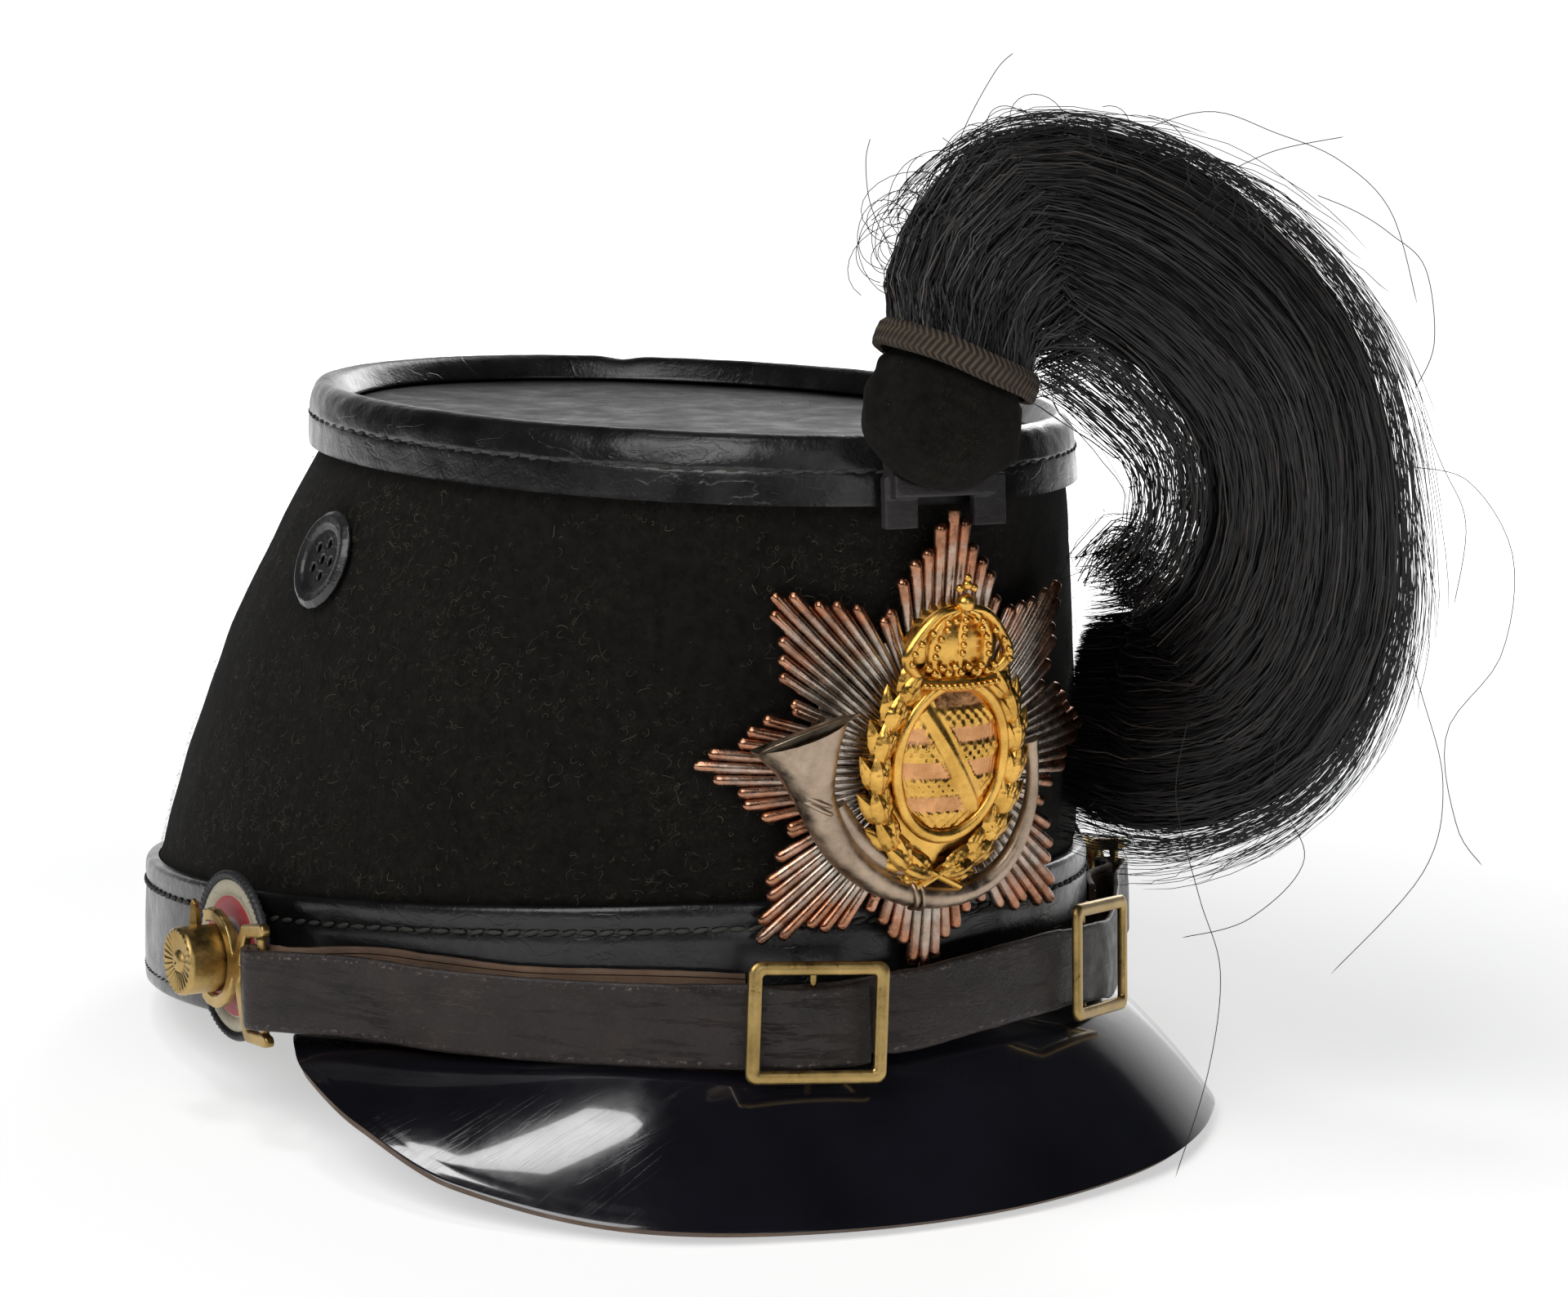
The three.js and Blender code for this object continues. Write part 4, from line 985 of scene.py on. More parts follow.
# Badge: u across, v up the plate, w outward
BADGE_MID = 2.6
STAR_MID = (3.6, 39.0)
STAR_R = [45.2, 43.5, 42.2, 42.9, 38.9, 44.4, 40.4, 39.4]
STAR_TURN = 2.0
CONE_R, CONE_LEAN = 62, 0.44
FOOT = Vector((0, -105.4, 9))
RISE = Vector((0, -19.1, 83)).normalized()
FACE_OUT = Vector((0, -RISE.z, RISE.y))
BEND_R = 400


def badge_point(u, v, w):
    a = (u - BADGE_MID) / BEND_R
    p = FOOT + RISE * v + FACE_OUT * (math.cos(a) * (BEND_R + w) - BEND_R)
    p.x += BADGE_MID + math.sin(a) * (BEND_R + w)
    return p


def star_point(across, rise, w):
    """Place on the star, which is bent round a cone."""
    c, s = math.cos(CONE_LEAN), math.sin(CONE_LEAN)
    apex = CONE_R * c / s
    reach = math.hypot(across, apex - rise)
    turn = math.atan2(across, apex - rise) / s
    down = -RISE * c - FACE_OUT * s
    front = -RISE * s + FACE_OUT * c
    r = reach * s + w * c
    p = FOOT + RISE * (STAR_MID[1] + apex) + down * (reach * c - w * s) + front * (r * math.cos(turn))
    p.x = STAR_MID[0] + r * math.sin(turn)
    return p


def star_paint():
    """Silver that wears to copper towards the tips."""
    p = Paint("star_silver", rough=0.3, metal=1.0)
    silver = p.ramp(p.grain(160, 6, 0.7), (0.3, (0.14, 0.115, 0.09)), (0.7, (0.66, 0.58, 0.5)))
    copper = p.ramp(p.grain(260, 5, 0.7), (0.3, (0.14, 0.06, 0.032)), (0.7, (0.55, 0.26, 0.15)))
    worn = p.sum(p.uv("Y"), p.sum(p.sum(p.grain(95, 5, 0.7), 0.5, "SUBTRACT"), 1.5, "MULTIPLY"))
    p.colour(p.mix(p.ramp(worn, (0.4, 0.0), (0.85, 1.0)), silver, copper))
    p.roughness(p.ramp(p.grain(300, 6, 0.7), (0.3, 0.14), (0.75, 0.42)))
    p.relief((p.grain(700, 5, 0.6), 0.06))
    return p.m


STAR = star_paint()


def ray(u0, v0, u1, v1, r0, r1, w0):
    """A half-round ray with a rounded tip."""
    length = math.hypot(u1 - u0, v1 - v0)
    su, sv = -(v1 - v0) / length, (u1 - u0) / length

    def place(a, b):
        t = 1 - (1 - b) ** 1.25
        r = lerp(r0, r1, t)
        left = length * (1 - t)
        if left < r1:
            r = r * math.sqrt(max(0.0, 1 - (1 - left / r1) ** 2))
        k = a * math.pi
        x = math.cos(k)
        u, v = lerp(u0, u1, t), lerp(v0, v1, t)
        return star_point(u + su * r * x, v + sv * r * x, w0 + math.sin(k) * r * 1.15)

    return laid("ray", 10, 26, place, closed=False)


# the rays of each of the eight points: sideways at root and tip, share of the reach, how deep they lie
FINGERS = [
    (0.0, 0.0, 1.0, 0.0), (1.25, 2.3, 0.94, 0.1), (-1.25, -2.3, 0.95, 0.1),
    (2.3, 4.4, 0.84, 0.2), (-2.3, -4.4, 0.85, 0.2),
    (3.3, 6.6, 0.8, 0.05), (-3.3, -6.6, 0.81, 0.05), (4.3, 8.7, 0.74, 0.15), (-4.3, -8.7, 0.73, 0.15),
    (5.2, 10.6, 0.62, 0.3), (-5.2, -10.6, 0.63, 0.3),
]


def star():
    parts = []
    random.seed(5)
    for p in range(8):
        t = math.radians(90 + STAR_TURN + p * 45)
        du, dv = math.cos(t), math.sin(t)
        for side0, side1, reach, sink in FINGERS:
            a = (10.5 + 0.6 * abs(side0), side0)
            b = (STAR_R[p] * reach * random.uniform(0.985, 1.015), side1)
            u0, v0 = du * a[0] - dv * a[1], dv * a[0] + du * a[1]
            u1, v1 = du * b[0] - dv * b[1], dv * b[0] + du * b[1]
            parts.append(ray(u0, v0, u1, v1, 0.62, 1.18, 1.0 - sink))
    o = joined("star_rays", parts)
    take(o)
    mod = o.modifiers.new("back", "SOLIDIFY")
    mod.thickness = 0.0006
    mod.offset = -1
    apply_all(o)
    return o


rays = star()


def plate_place(u, v):
    t = u * 2 * math.pi
    rows = [(0, 1.0), (10, 1.0), (18, 0.9), (24, 0.7), (24.3, 0.4), (24, 0.1), (10, 0.0), (0, 0.0)]
    r, w = rows[int(round(v * 7))]
    return star_point(r * math.cos(t), r * math.sin(t), w)


plate = laid("star_disc", 48, 7, plate_place)


def stud(rise, low):
    """A short peg from the plate back to the cloth."""

    def place(u, v):
        r = 0 if v in (0, 1) else 2
        t = u * 2 * math.pi
        return badge_point(1.2 + r * math.cos(t), rise + r * math.sin(t), low if v < 0.5 else 0.6)

    return laid("stud", 12, 3, place)


o = joined("star_badge", [rays, plate, stud(30, -4.1), stud(55, -2.95)])
dress(o, STAR, "star_silver", "star_plate", smooth=50)

# Hunting horn
HORN = [
    (-23.4, 46.6, 9.2), (-22.2, 42.8, 6.6), (-21.2, 39.6, 4.9), (-20.2, 36.8, 4.0), (-19.0, 34.0, 3.4),
    (-16.6, 29.6, 3.1), (-13.3, 25.2, 2.9), (-9.0, 21.4, 2.7),
    (-4.1, 18.4, 2.5), (1.5, 16.3, 2.4), (7.1, 15.4, 2.3), (12.6, 15.8, 2.1),
    (17.6, 17.9, 1.9), (21.2, 21.6, 1.7), (23.4, 26.6, 1.5),
    (24.4, 32.0, 1.3), (24.0, 37.2, 1.2), (22.6, 42.4, 1.7),
]


TUBE_LIFT, TUBE_CAP = 1.15, 4.6


def tube(name, rows, base, n_along, n_round=20):
    """A half-sunk tube on the badge through rows of (u, v, radius)."""
    rows = curve_through(rows, n_along)
    n = len(rows) - 1

    def place(a, b):
        i = int(round(b * n))
        u, v, r = rows[i]
        p, q = rows[max(i - 1, 0)], rows[min(i + 1, n)]
        d = math.hypot(q[0] - p[0], q[1] - p[1])
        su, sv = -(q[1] - p[1]) / d, (q[0] - p[0]) / d
        k = a * 2 * math.pi
        x, h = math.cos(k), math.sin(k)
        tall = min(r, TUBE_CAP) * TUBE_LIFT
        return badge_point(u + su * r * x, v + sv * r * x, base + max(h, -0.12) * tall)

    return close_ends(laid(name, n_round, n, place))


# the horn lies this far to the side of its rows, and this far off the plate
HORN_ASIDE, HORN_UP = -1.4, 2.7
INNER_TURN = [(-15.0, 33.5, 1.5), (-12.0, 29.0, 2.0), (-8.0, 25.0, 2.0), (-3.0, 21.8, 1.9), (3.0, 20.0, 1.7)]


def aside(rows):
    return [(u + HORN_ASIDE, v, r) for u, v, r in rows]


def ferrule(u, v, r, turn):
    """A raised hoop across the tube."""
    a = math.radians(turn)
    c, s = math.cos(a), math.sin(a)

    def place(share, t):
        k = math.pi * share
        ring_r = r + 0.35 * math.cos(2 * math.pi * t)
        along = 0.42 * math.sin(2 * math.pi * t)
        x = ring_r * math.cos(k)
        up = HORN_UP + math.sin(k) * ring_r * 1.12
        return badge_point(u + HORN_ASIDE + s * x - c * along, v - c * x - s * along, up)

    return laid("ferrule", 20, 8, place)


horn_parts = [
    tube("horn_body", aside(HORN), HORN_UP, 60), tube("horn_turn", aside(INNER_TURN), 2.5, 24, 14),
    ferrule(-20.3, 35.4, 3.9, 66), ferrule(-19.8, 34.0, 3.8, 64),
    ferrule(0.8, 16.4, 2.8, 10), ferrule(2.2, 16.2, 2.8, 8),
]

BELL = (-24.8, 46.9)


def bell_point(a, r, deep_in):
    """Oval mouth of the bell, tipped towards the viewer."""
    x, q = 9.2 * r * math.cos(a), 3.1 * r * math.sin(a)
    u = BELL[0] + 0.954 * x + 0.3 * (q * 0.75 - deep_in)
    v = BELL[1] + 0.3 * x - 0.954 * (-q * 0.75 + deep_in) + 0.2
    return badge_point(u, v, 5.6 + q * 0.95 - deep_in * 0.35)


def lip_place(a, b):
    k, t = a * 2 * math.pi, b * 2 * math.pi
    p = bell_point(k, 1 + 0.055 * math.cos(t), 0)
    return p + FACE_OUT * 0.42 * math.sin(t)


def hollow_place(a, b):
    return bell_point(a * 2 * math.pi, 0.99 * (1 - b), 3.6 * math.sin(b * math.pi / 2))


horn_parts.append(laid("lip", 64, 10, lip_place))
bell = laid("horn_bell", 48, 12, hollow_place)
# the inside of the bell is a darker, rougher metal: painted shade in its hollow
BELL_PAINTED_SHADE = metal_paint("bell_inside", (0.035, 0.028, 0.02), (0.16, 0.13, 0.09), 0.5, 260, 0.15)
bell.modifiers.new("thick", "SOLIDIFY").thickness = 0.0003
apply_all(bell)
dress(bell, BELL_PAINTED_SHADE, "horn_silver", smooth=60)

o = joined("hunting_horn", horn_parts)
dress(o, HORN_METAL, "horn_silver", "horn", smooth=50)

# Gilt arms
ARMS = (3.7, 40.5)


def dome(name, cu, cv, ru, rv, base, high, n, m, squarish, relief=None):
    """An oval cushion on the badge with a turned-down edge."""

    def place(a, b):
        k = a * 2 * math.pi
        r = math.sin(min(1, b * 1.06) * math.pi / 2)
        u = cu + ru * r * math.cos(k)
        v = cv + rv * r * math.sin(k)
        w = base + high * (1 - r**squarish) if b < 0.95 else base - 2.6 * (b - 0.95) / 0.05
        if relief and b < 0.95:
            w += relief(u - cu, v - cv, r)
        return badge_point(u, v, w)

    return laid(name, n, m, place)


def shield_bar(v):
    """Above zero on the raised bars, below it between them."""
    return math.sin(v * 1.02)


def shield_sash(u, v):
    """From -1 to 1 across the smooth band that crosses the bars."""
    return (u * 0.83 + v * 0.55) / 2.1


def shield_relief(u, v, r):
    """Raised bars with beads and a smooth band across them."""
    if r > 0.93:
        return 0
    bar = shield_bar(v) > 0.0
    beads = 0.22 * math.cos(u * 3.4) * math.cos(v * 3.4) if bar else 0.05 * math.cos(u * 9)
    across = shield_sash(u, v)
    if abs(across) < 1:
        return 0.5 + 0.25 * math.cos(across * 4.7)
    return (0.28 if bar else 0.0) + beads


def leaf_piece(cu, cv, turn, length, wide, base, tall):
    a = math.radians(turn)
    du, dv = math.cos(a), math.sin(a)

    def place(s, t):
        x = (t - 0.5) * length
        half = wide / 2 * math.sin(min(1, t * 1.02) * math.pi) ** 0.75 * (1.15 - 0.35 * t)
        y = (s * 2 - 1) * half
        rib = 1 - abs(s * 2 - 1)
        curl = math.sin(t * math.pi)
        veins = 0.16 * math.cos(t * 34 + abs(s - 0.5) * 9)
        rounded_up = 0.35 + 0.65 * math.sin((1 - abs(s * 2 - 1) ** 1.5) * math.pi / 2)
        w = base + tall * curl * rounded_up + (veins * curl if rib < 0.86 else 0.3 * curl)
        return badge_point(cu + du * x - dv * y, cv + dv * x + du * y, w)

    return laid("leaf", 10, 16, place, closed=False)


def shield_piece(cu, cv):
    o = dome("shield", cu, cv, 10.2, 13.4, 4.6, 2.0, 120, 56, 2.2, shield_relief)
    o.data.materials.append(GILT)
    o.data.materials.append(ROSE)
    # the sunk bars are rose gilt
    inverse = HAT.inverted()
    for f in o.data.polygons:
        c = inverse @ f.center
        u, v = c.x - cu, (c - FOOT).dot(RISE) - cv
        inside = (u / 9.4) ** 2 + (v / 12.4) ** 2 < 1
        if inside and abs(shield_sash(u, v)) > 1 and shield_bar(v) < -0.1:
            f.material_index = 1
    return o


# crown on the shield: where each arch stands and how high it bulges
ARCHES = [(-10.0, 6.6), (-5.6, 8.8), (-0.3, 9.6), (5.0, 8.8), (9.4, 6.4)]
# orb and cross over the crown: aside, up, off the plate, radius
ORB = [
    (-0.3, 13.4, 5.2, 1.7), (-0.3, 16.6, 5.2, 0.9),
    (-1.7, 16.0, 5.2, 0.75), (1.1, 16.0, 5.2, 0.75), (-0.3, 17.8, 5.2, 0.7),
]


def wreath(cu, cv):
    """Eight sprigs of three leaves up each side."""
    leaves = []
    for side in (-1, 1):
        for i in range(8):
            t = math.radians(18 + i * 17.5)
            u, v = math.sin(t) * side, -math.cos(t)
            rise = math.degrees(math.atan2(math.sin(t) * 20, math.cos(t) * 13.6 * side))
            leaves.append(leaf_piece(cu + u * 14.6, cv + v * 20.4, rise - side * 34, 8.6, 4.1, 3.5, 1.5))
            leaves.append(leaf_piece(cu + u * 12.6, cv + v * 17.6, rise + side * 16, 8.2, 3.6, 4.2, 1.5))
            leaves.append(leaf_piece(cu + u * 13.8, cv + v * 19.2, rise - side * 6, 8.8, 3.6, 4.5, 1.6))
    return leaves


def crown_beads(cu, kv):
    beads = []
    for i in range(13):
        beads.append((cu - 7.2 + i * 1.18, kv - 0.9 + 0.012 * (i - 6) ** 2, 6.4, 0.62))
    for i in range(11):
        beads.append((cu - 6.6 + i * 1.3, kv + 1.9 + 0.5 * math.cos(i * math.pi), 5.8, 0.72))
    for tip, bulge in ARCHES:
        for q in range(6):
            t = q / 5
            beads.append((lerp(cu + tip, cu - 0.3, t * t), lerp(kv + bulge * 0.5, kv + 12.0, t), 6.0, 0.6))
    beads += [(cu + u, kv + v, w, r) for u, v, w, r in ORB]
    bpy.ops.object.select_all(action="DESELECT")
    bpy.ops.mesh.primitive_uv_sphere_add(segments=12, ring_count=8, radius=1)
    one = bpy.context.object
    spots = [HAT @ Matrix.Translation(badge_point(u, v, w)) @ Matrix.Scale(r, 4) for u, v, w, r in beads]
    return repeated("beads", one, spots)


def arms():
    cu, cv = ARMS
    kv = cv + 14.6

    # raised rim round the shield
    def rim_place(a, b):
        k, t = a * 2 * math.pi, b * 2 * math.pi
        r = 1 + 0.09 * math.cos(t)
        u, v = cu + 10.6 * r * math.cos(k), cv + 0.3 + 13.8 * r * math.sin(k)
        return badge_point(u, v, 5.2 + 0.95 * math.sin(t))

    # rim of the crown
    def band_place(a, b):
        t = b * 2 * math.pi
        u = lerp(-7.6, 7.2, a)
        v = kv - 0.9 + 1.35 * math.cos(t) + 0.012 * u * u
        return badge_point(cu + u, v, 5.2 + 1.25 * math.sin(t) - 0.008 * u * u)

    parts = [
        dome("wreath_bed", cu, cv - 1.5, 13.4, 19.4, 2.9, 1.4, 48, 8, 2.0),
        shield_piece(cu, cv + 0.3),
        laid("shield_rim", 72, 10, rim_place),
        *wreath(cu, cv - 1.2),
    ]
    # crossed stems at the foot
    for s in (-1, 1):
        stem = [(cu - 5 * s, cv - 23.2, 0.7), (cu, cv - 20.6, 0.8), (cu + 5 * s, cv - 17.8, 0.6)]
        parts.append(tube("stem", stem, 4.4, 12, 10))
    parts.append(dome("crown_cap", cu - 0.3, kv + 5.4, 8.6, 7.4, 3.2, 2.4, 48, 12, 2.0))
    parts.append(laid("crown_rim", 24, 12, band_place))
    for tip, bulge in ARCHES:
        arch = [
            (cu + tip * 0.68, kv, 0.85), (cu + tip * 1.0, kv + bulge * 0.45, 1.05),
            (cu + tip * 0.96, kv + bulge * 0.9, 1.05),
            (cu + tip * 0.5, kv + 11.2, 0.9), (cu - 0.3, kv + 12.2, 0.8),
        ]
        parts.append(tube("arch", arch, 4.6, 20, 10))
    parts.append(crown_beads(cu, kv))
    for p in parts:
        if not p.data.materials:
            p.data.materials.append(GILT)
    return joined("gilt_crowned_arms", parts)


dress(arms(), [GILT, ROSE], "gilt_brass", "gilt_arms", smooth=50)

# Plume
BALL = Vector((-5.0, -133.4, 106.5))
STEM = Vector((0.36, -0.1, 0.93)).normalized()
STEM_FRAME = Matrix.Translation(BALL) @ Vector((0, 0, 1)).rotation_difference(STEM).to_matrix().to_4x4()
FELT = cloth_paint()
FELT.name = "black_felt"
SOCKET = leather_paint(
    "socket_leather", (0.006, 0.004, 0.005), (0.02, 0.014, 0.017), 0.5, (0.05, 0.04, 0.04), 0.6, 0.1
)
cast_copy("plume_pocket", "plume_socket", 0.0003, 4, SOCKET, "socket_leather")


# (radius, height) of the pouch from its underside up to the neck inside the tie
POUCH = [
    (0, -12.2), (4.0, -11.9), (7.6, -10.6), (11.2, -8.0), (13.4, -4.8), (14.2, -1.6),
    (14.35, 1.6), (14.0, 4.0), (13.3, 5.6), (12.1, 6.8), (11.5, 9.4),
]
pouch_rows = curve_through(POUCH, 40)
FLAT = 0.74


def ball_place(u, v):
    r, h = (0.0, POUCH[-1][1]) if v > 0.96 else pouch_rows[int(round(v / 0.96 * 40))]
    t = u * 2 * math.pi
    gathers = 0.55 * math.sin(t * 7 + h * 0.3) * math.exp(-(((h - 2) / 6) ** 2))
    fold = gathers + 1.1 * rough((math.cos(t) * 11, math.sin(t) * 11, h), 5, 2)
    r = max(0.0, r + (fold if r > 3 else 0))
    return (r * math.cos(t), r * math.sin(t) * FLAT, h)


ball = laid("plume_ball", 96, 48, ball_place, tool=HAT @ STEM_FRAME)
dress(ball, FELT, "felt", "plume_holder", smooth=60)


YARNS = 74
TIE_SHIFT = -0.9
TIE_ROWS = [
    (14.4, 6.35), (15.1, 6.6), (15.3, 7.4), (15.3, 9.0),
    (15.1, 10.3), (14.5, 11.1), (13.6, 11.2), (13.2, 9.0), (13.6, 6.6),
]


def braid_paint():
    """Brown yarn in a herringbone, painted darker in the hollows of the weave as painted shade."""
    p = Paint("woven_braid", rough=0.85)
    zig = p.sum(p.sum(p.uv("Y"), 5.0, "MULTIPLY"), 1.0, "PINGPONG")
    line = p.sum(p.sum(p.sum(p.uv("X"), float(YARNS), "MULTIPLY"), zig), 6.283, "MULTIPLY")
    weave = p.sum(line, 0.0, "SINE")
    height = p.sum(p.sum(weave, 0.5, "MULTIPLY"), 0.5)
    # the yarn's colour follows the weave's height and is darkest in its hollows: painted shade
    tone = p.ramp(height, (0.1, (0.014, 0.009, 0.005)), (0.8, (0.085, 0.06, 0.036)))
    p.colour(p.mix(p.ramp(p.grain(140, 5), (0.5, 0.0), (0.75, 0.6)), tone, (0.03, 0.024, 0.018)))
    p.relief((p.grain(1200, 4), 0.1), (weave, 0.25))
    return p.m


def braid_place(u, v):
    r, h = on_loop(TIE_ROWS, v)
    t = u * 2 * math.pi
    weave = 0.1 * math.sin(u * YARNS * 2 * math.pi + v * 9) if r > 15 else 0
    wave = 0.3 * math.sin(t * 2 + 1) + 0.2 * math.sin(t * 5)
    return (TIE_SHIFT + (r + weave) * math.cos(t), (r + weave) * math.sin(t) * 0.76, 0.35 + h + wave * 0.5)


braid = laid("plume_tie", 440, len(TIE_ROWS), braid_place, tool=HAT @ STEM_FRAME)
dress(braid, braid_paint(), "braid", "plume_braid", smooth=60)

# the tail's middle line, its half width and half depth, from the tie to the tip
TAIL = [
    (-2.4, -134.6, 118.4, 12.6, 8.0), (-1.4, -135.6, 128.0, 15.6, 9.5), (10.0, -137.0, 137.6, 16.0, 10.5),
    (26.4, -139.6, 134.4, 17.0, 11.0), (43.0, -142.0, 124.1, 17.6, 11.5), (56.8, -142.4, 108.6, 17.2, 11.5),
    (64.6, -138.0, 90.0, 17.2, 11.5), (67.4, -129.6, 71.1, 19.6, 12.0), (65.6, -117.0, 56.0, 21.4, 12.0),
    (61.0, -104.0, 50.4, 21.2, 11.0), (57.6, -95.0, 50.0, 19.6, 8.0),
    (52.0, -87.0, 51.0, 17.5, 6.0),
]
# the tail is flat towards this side
VIEW = Vector((-0.5, -0.86, 0.07))
TAIL_STEPS = 60
tail_rows = curve_through(TAIL, TAIL_STEPS)


def tail_frame(t):
    """Middle, sideways and depth directions, half width and half depth at a share of the tail."""
    i = min(TAIL_STEPS, max(0, t * TAIL_STEPS))
    k = min(TAIL_STEPS - 1, int(i))
    row = tail_rows[k] + (tail_rows[k + 1] - tail_rows[k]) * (i - k)
    a, b = tail_rows[max(k - 1, 0)], tail_rows[min(k + 2, TAIL_STEPS)]
    along = Vector(b[:3] - a[:3]).normalized()
    deep = (VIEW - along * VIEW.dot(along)).normalized()
    side = deep.cross(along).normalized()
    return Vector(row[:3]), side, deep, row[3], row[4]


def tail_core(u, v):
    p, side, deep, half, thick = tail_frame(0.03 + 0.93 * v)
    k = u * 2 * math.pi
    end = min(1, math.sin(min(1, v * 8) * math.pi / 2)) * min(1, (1 - v) * 10)
    g = 0.6 * end * (1 + 0.08 * math.sin(k * 9 + v * 14))
    return p + side * half * g * math.cos(k) + deep * thick * g * 0.8 * math.sin(k)


HAIR = tinted_paint("horsehair", 0.42, shine=0.4)
core = laid("plume_core", 90, 80, tail_core)
CORE = Paint("plume_shadow", rough=0.8)
CORE.colour(CORE.ramp(CORE.grain(500, 4), (0.3, (0.003, 0.003, 0.0035)), (0.7, (0.01, 0.0095, 0.01))))
CORE.relief((CORE.grain(700, 4), 0.3))
dress(core, CORE.m, "horsehair", "plume_hair", smooth=60)


def strand_edges(points, width, roll):
    """Edges of a flat strand along some points, rolled about its own line."""
    edges = []
    last = len(points) - 1
    for k, p in enumerate(points):
        t = (points[min(k + 1, last)] - points[max(k - 1, 0)]).normalized()
        across = t.cross(VIEW).normalized()
        across = across * math.cos(roll) + t.cross(across) * math.sin(roll)
        w = width * (0.3 if k == last else 1)
        edges.append((HAT @ (p - across * w), HAT @ (p + across * w)))
    return edges


def strand(a, b, start, end, wild, fray):
    """One hair: out of the tie, over the top and down with the tail."""
    steps = 24
    seed = random.uniform(0, 100)
    root_r = random.uniform(6.5, 13.6)
    root = math.atan2(-b, -a) + random.uniform(-0.6, 0.6)
    base = STEM_FRAME @ Vector((TIE_SHIFT + root_r * math.cos(root), root_r * math.sin(root) * 0.76, 10.4))
    points = []
    for k in range(steps + 1):
        f = k / steps
        p, side, deep, half, thick = tail_frame(lerp(start, end, f))
        spread = 1 + wild * f * f
        sway = 0.1 * noise.noise(Vector((seed, f * 2.2, 0))) + 0.035 * noise.noise(Vector((seed, f * 8, 5)))
        drift = 0.12 * noise.noise(Vector((seed, f * 2.5, 9)))
        loose = fray * max(0, f - 0.75) * 4
        q = p + side * half * (a * spread + sway * 2 + loose * 0.35 * drift * 8)
        q += deep * thick * (b * spread + drift * 2)
        join = ease(f, 0.0, 0.17)
        bulge = math.sin(join * math.pi)
        inward = Vector((2.0 * max(0, a), 0, 0)) * bulge
        points.append(base.lerp(q, join) + STEM * 5.0 * bulge * (1 - join) - inward)
    return points


HAIR_SHADES = [(0.003, 0.0029, 0.0034), (0.006, 0.0057, 0.0062), (0.012, 0.011, 0.0112), (0.045, 0.037, 0.031)]


def hair_mass(name, count, seed):
    random.seed(seed)
    paths, shades = [], []
    for i in range(count):
        r = math.sqrt(random.uniform(0.25, 1.0))
        ang = random.uniform(0, 2 * math.pi)
        a, b = 0.03 + 0.88 * r * math.cos(ang), r * math.sin(ang)
        if random.random() < 0.014:
            # a few fall inside the bend and cross the open middle
            a, b = random.uniform(-1.7, -0.8), random.uniform(-0.5, 0.5)
        end = random.choice((1.0, random.uniform(0.8, 1.0), random.uniform(0.93, 1.0)))
        wild = random.choice((0.0, 0.0, random.uniform(-0.1, 0.1), random.uniform(-0.2, 0.25)))
        points = strand(a, b, random.uniform(0.0, 0.02), end, wild, random.random() ** 3)
        paths.append(strand_edges(points, random.uniform(0.07, 0.13), random.gauss(0, 0.6)))
        g = random.uniform(0.6, 1.3)
        c = HAIR_SHADES[min(3, int(random.random() ** 2.2 * 4))]
        shades.append(tuple(v * g for v in c))
    o = ribbons(name, paths, shades)
    dress(o, HAIR, "horsehair")


for letter, seed in (("a", 11), ("b", 12), ("c", 13)):
    hair_mass("plume_hair_" + letter, 3900, seed)

# Loose hairs drawn one by one, each a smooth line through a few points
STRAYS = [
    [(9, -109, 140), (14, -107, 147), (17, -109, 156), (22, -111, 165), (25, -112, 168)],
    [(62, -139, 136), (71, -143, 129), (78, -148, 116), (84, -153, 96), (87, -156, 85), (85, -155, 71)],
    [
        (74, -146, 97), (80, -150, 95), (88, -156, 92), (94, -160, 79),
        (91, -160, 62), (82, -156, 49), (83, -157, 33), (86, -160, 26),
    ],
    [(68, -141, 142), (74, -144, 139), (79, -147, 135), (84, -150, 129), (84, -152, 116), (81, -150, 108)],
    [(43, -134, 52), (41, -133, 39), (44, -135, 22), (46, -138, 9), (43, -138, -8), (37, -136, -26)],
    [(60, -141, 55), (56, -141, 41), (60, -144, 28), (51, -140, 18), (41, -134, 15)],
    [
        (28, -120, 146), (41, -123, 153), (53, -130, 157), (63, -136, 153),
        (72, -142, 148), (79, -147, 139), (82, -150, 123),
    ],
    [(6, -107, 128), (4, -103, 136), (2, -101, 143), (2, -100, 150), (3, -100, 154)],
    [(44, -128, 144), (54, -131, 146), (63, -136, 150), (73, -142, 152)],
    [(70, -147, 88), (74, -149, 78), (79, -153, 56), (81, -156, 40), (77, -155, 25), (63, -147, 8)],
]


CURLS, WISPS, FRAYED = 110, 330, 120


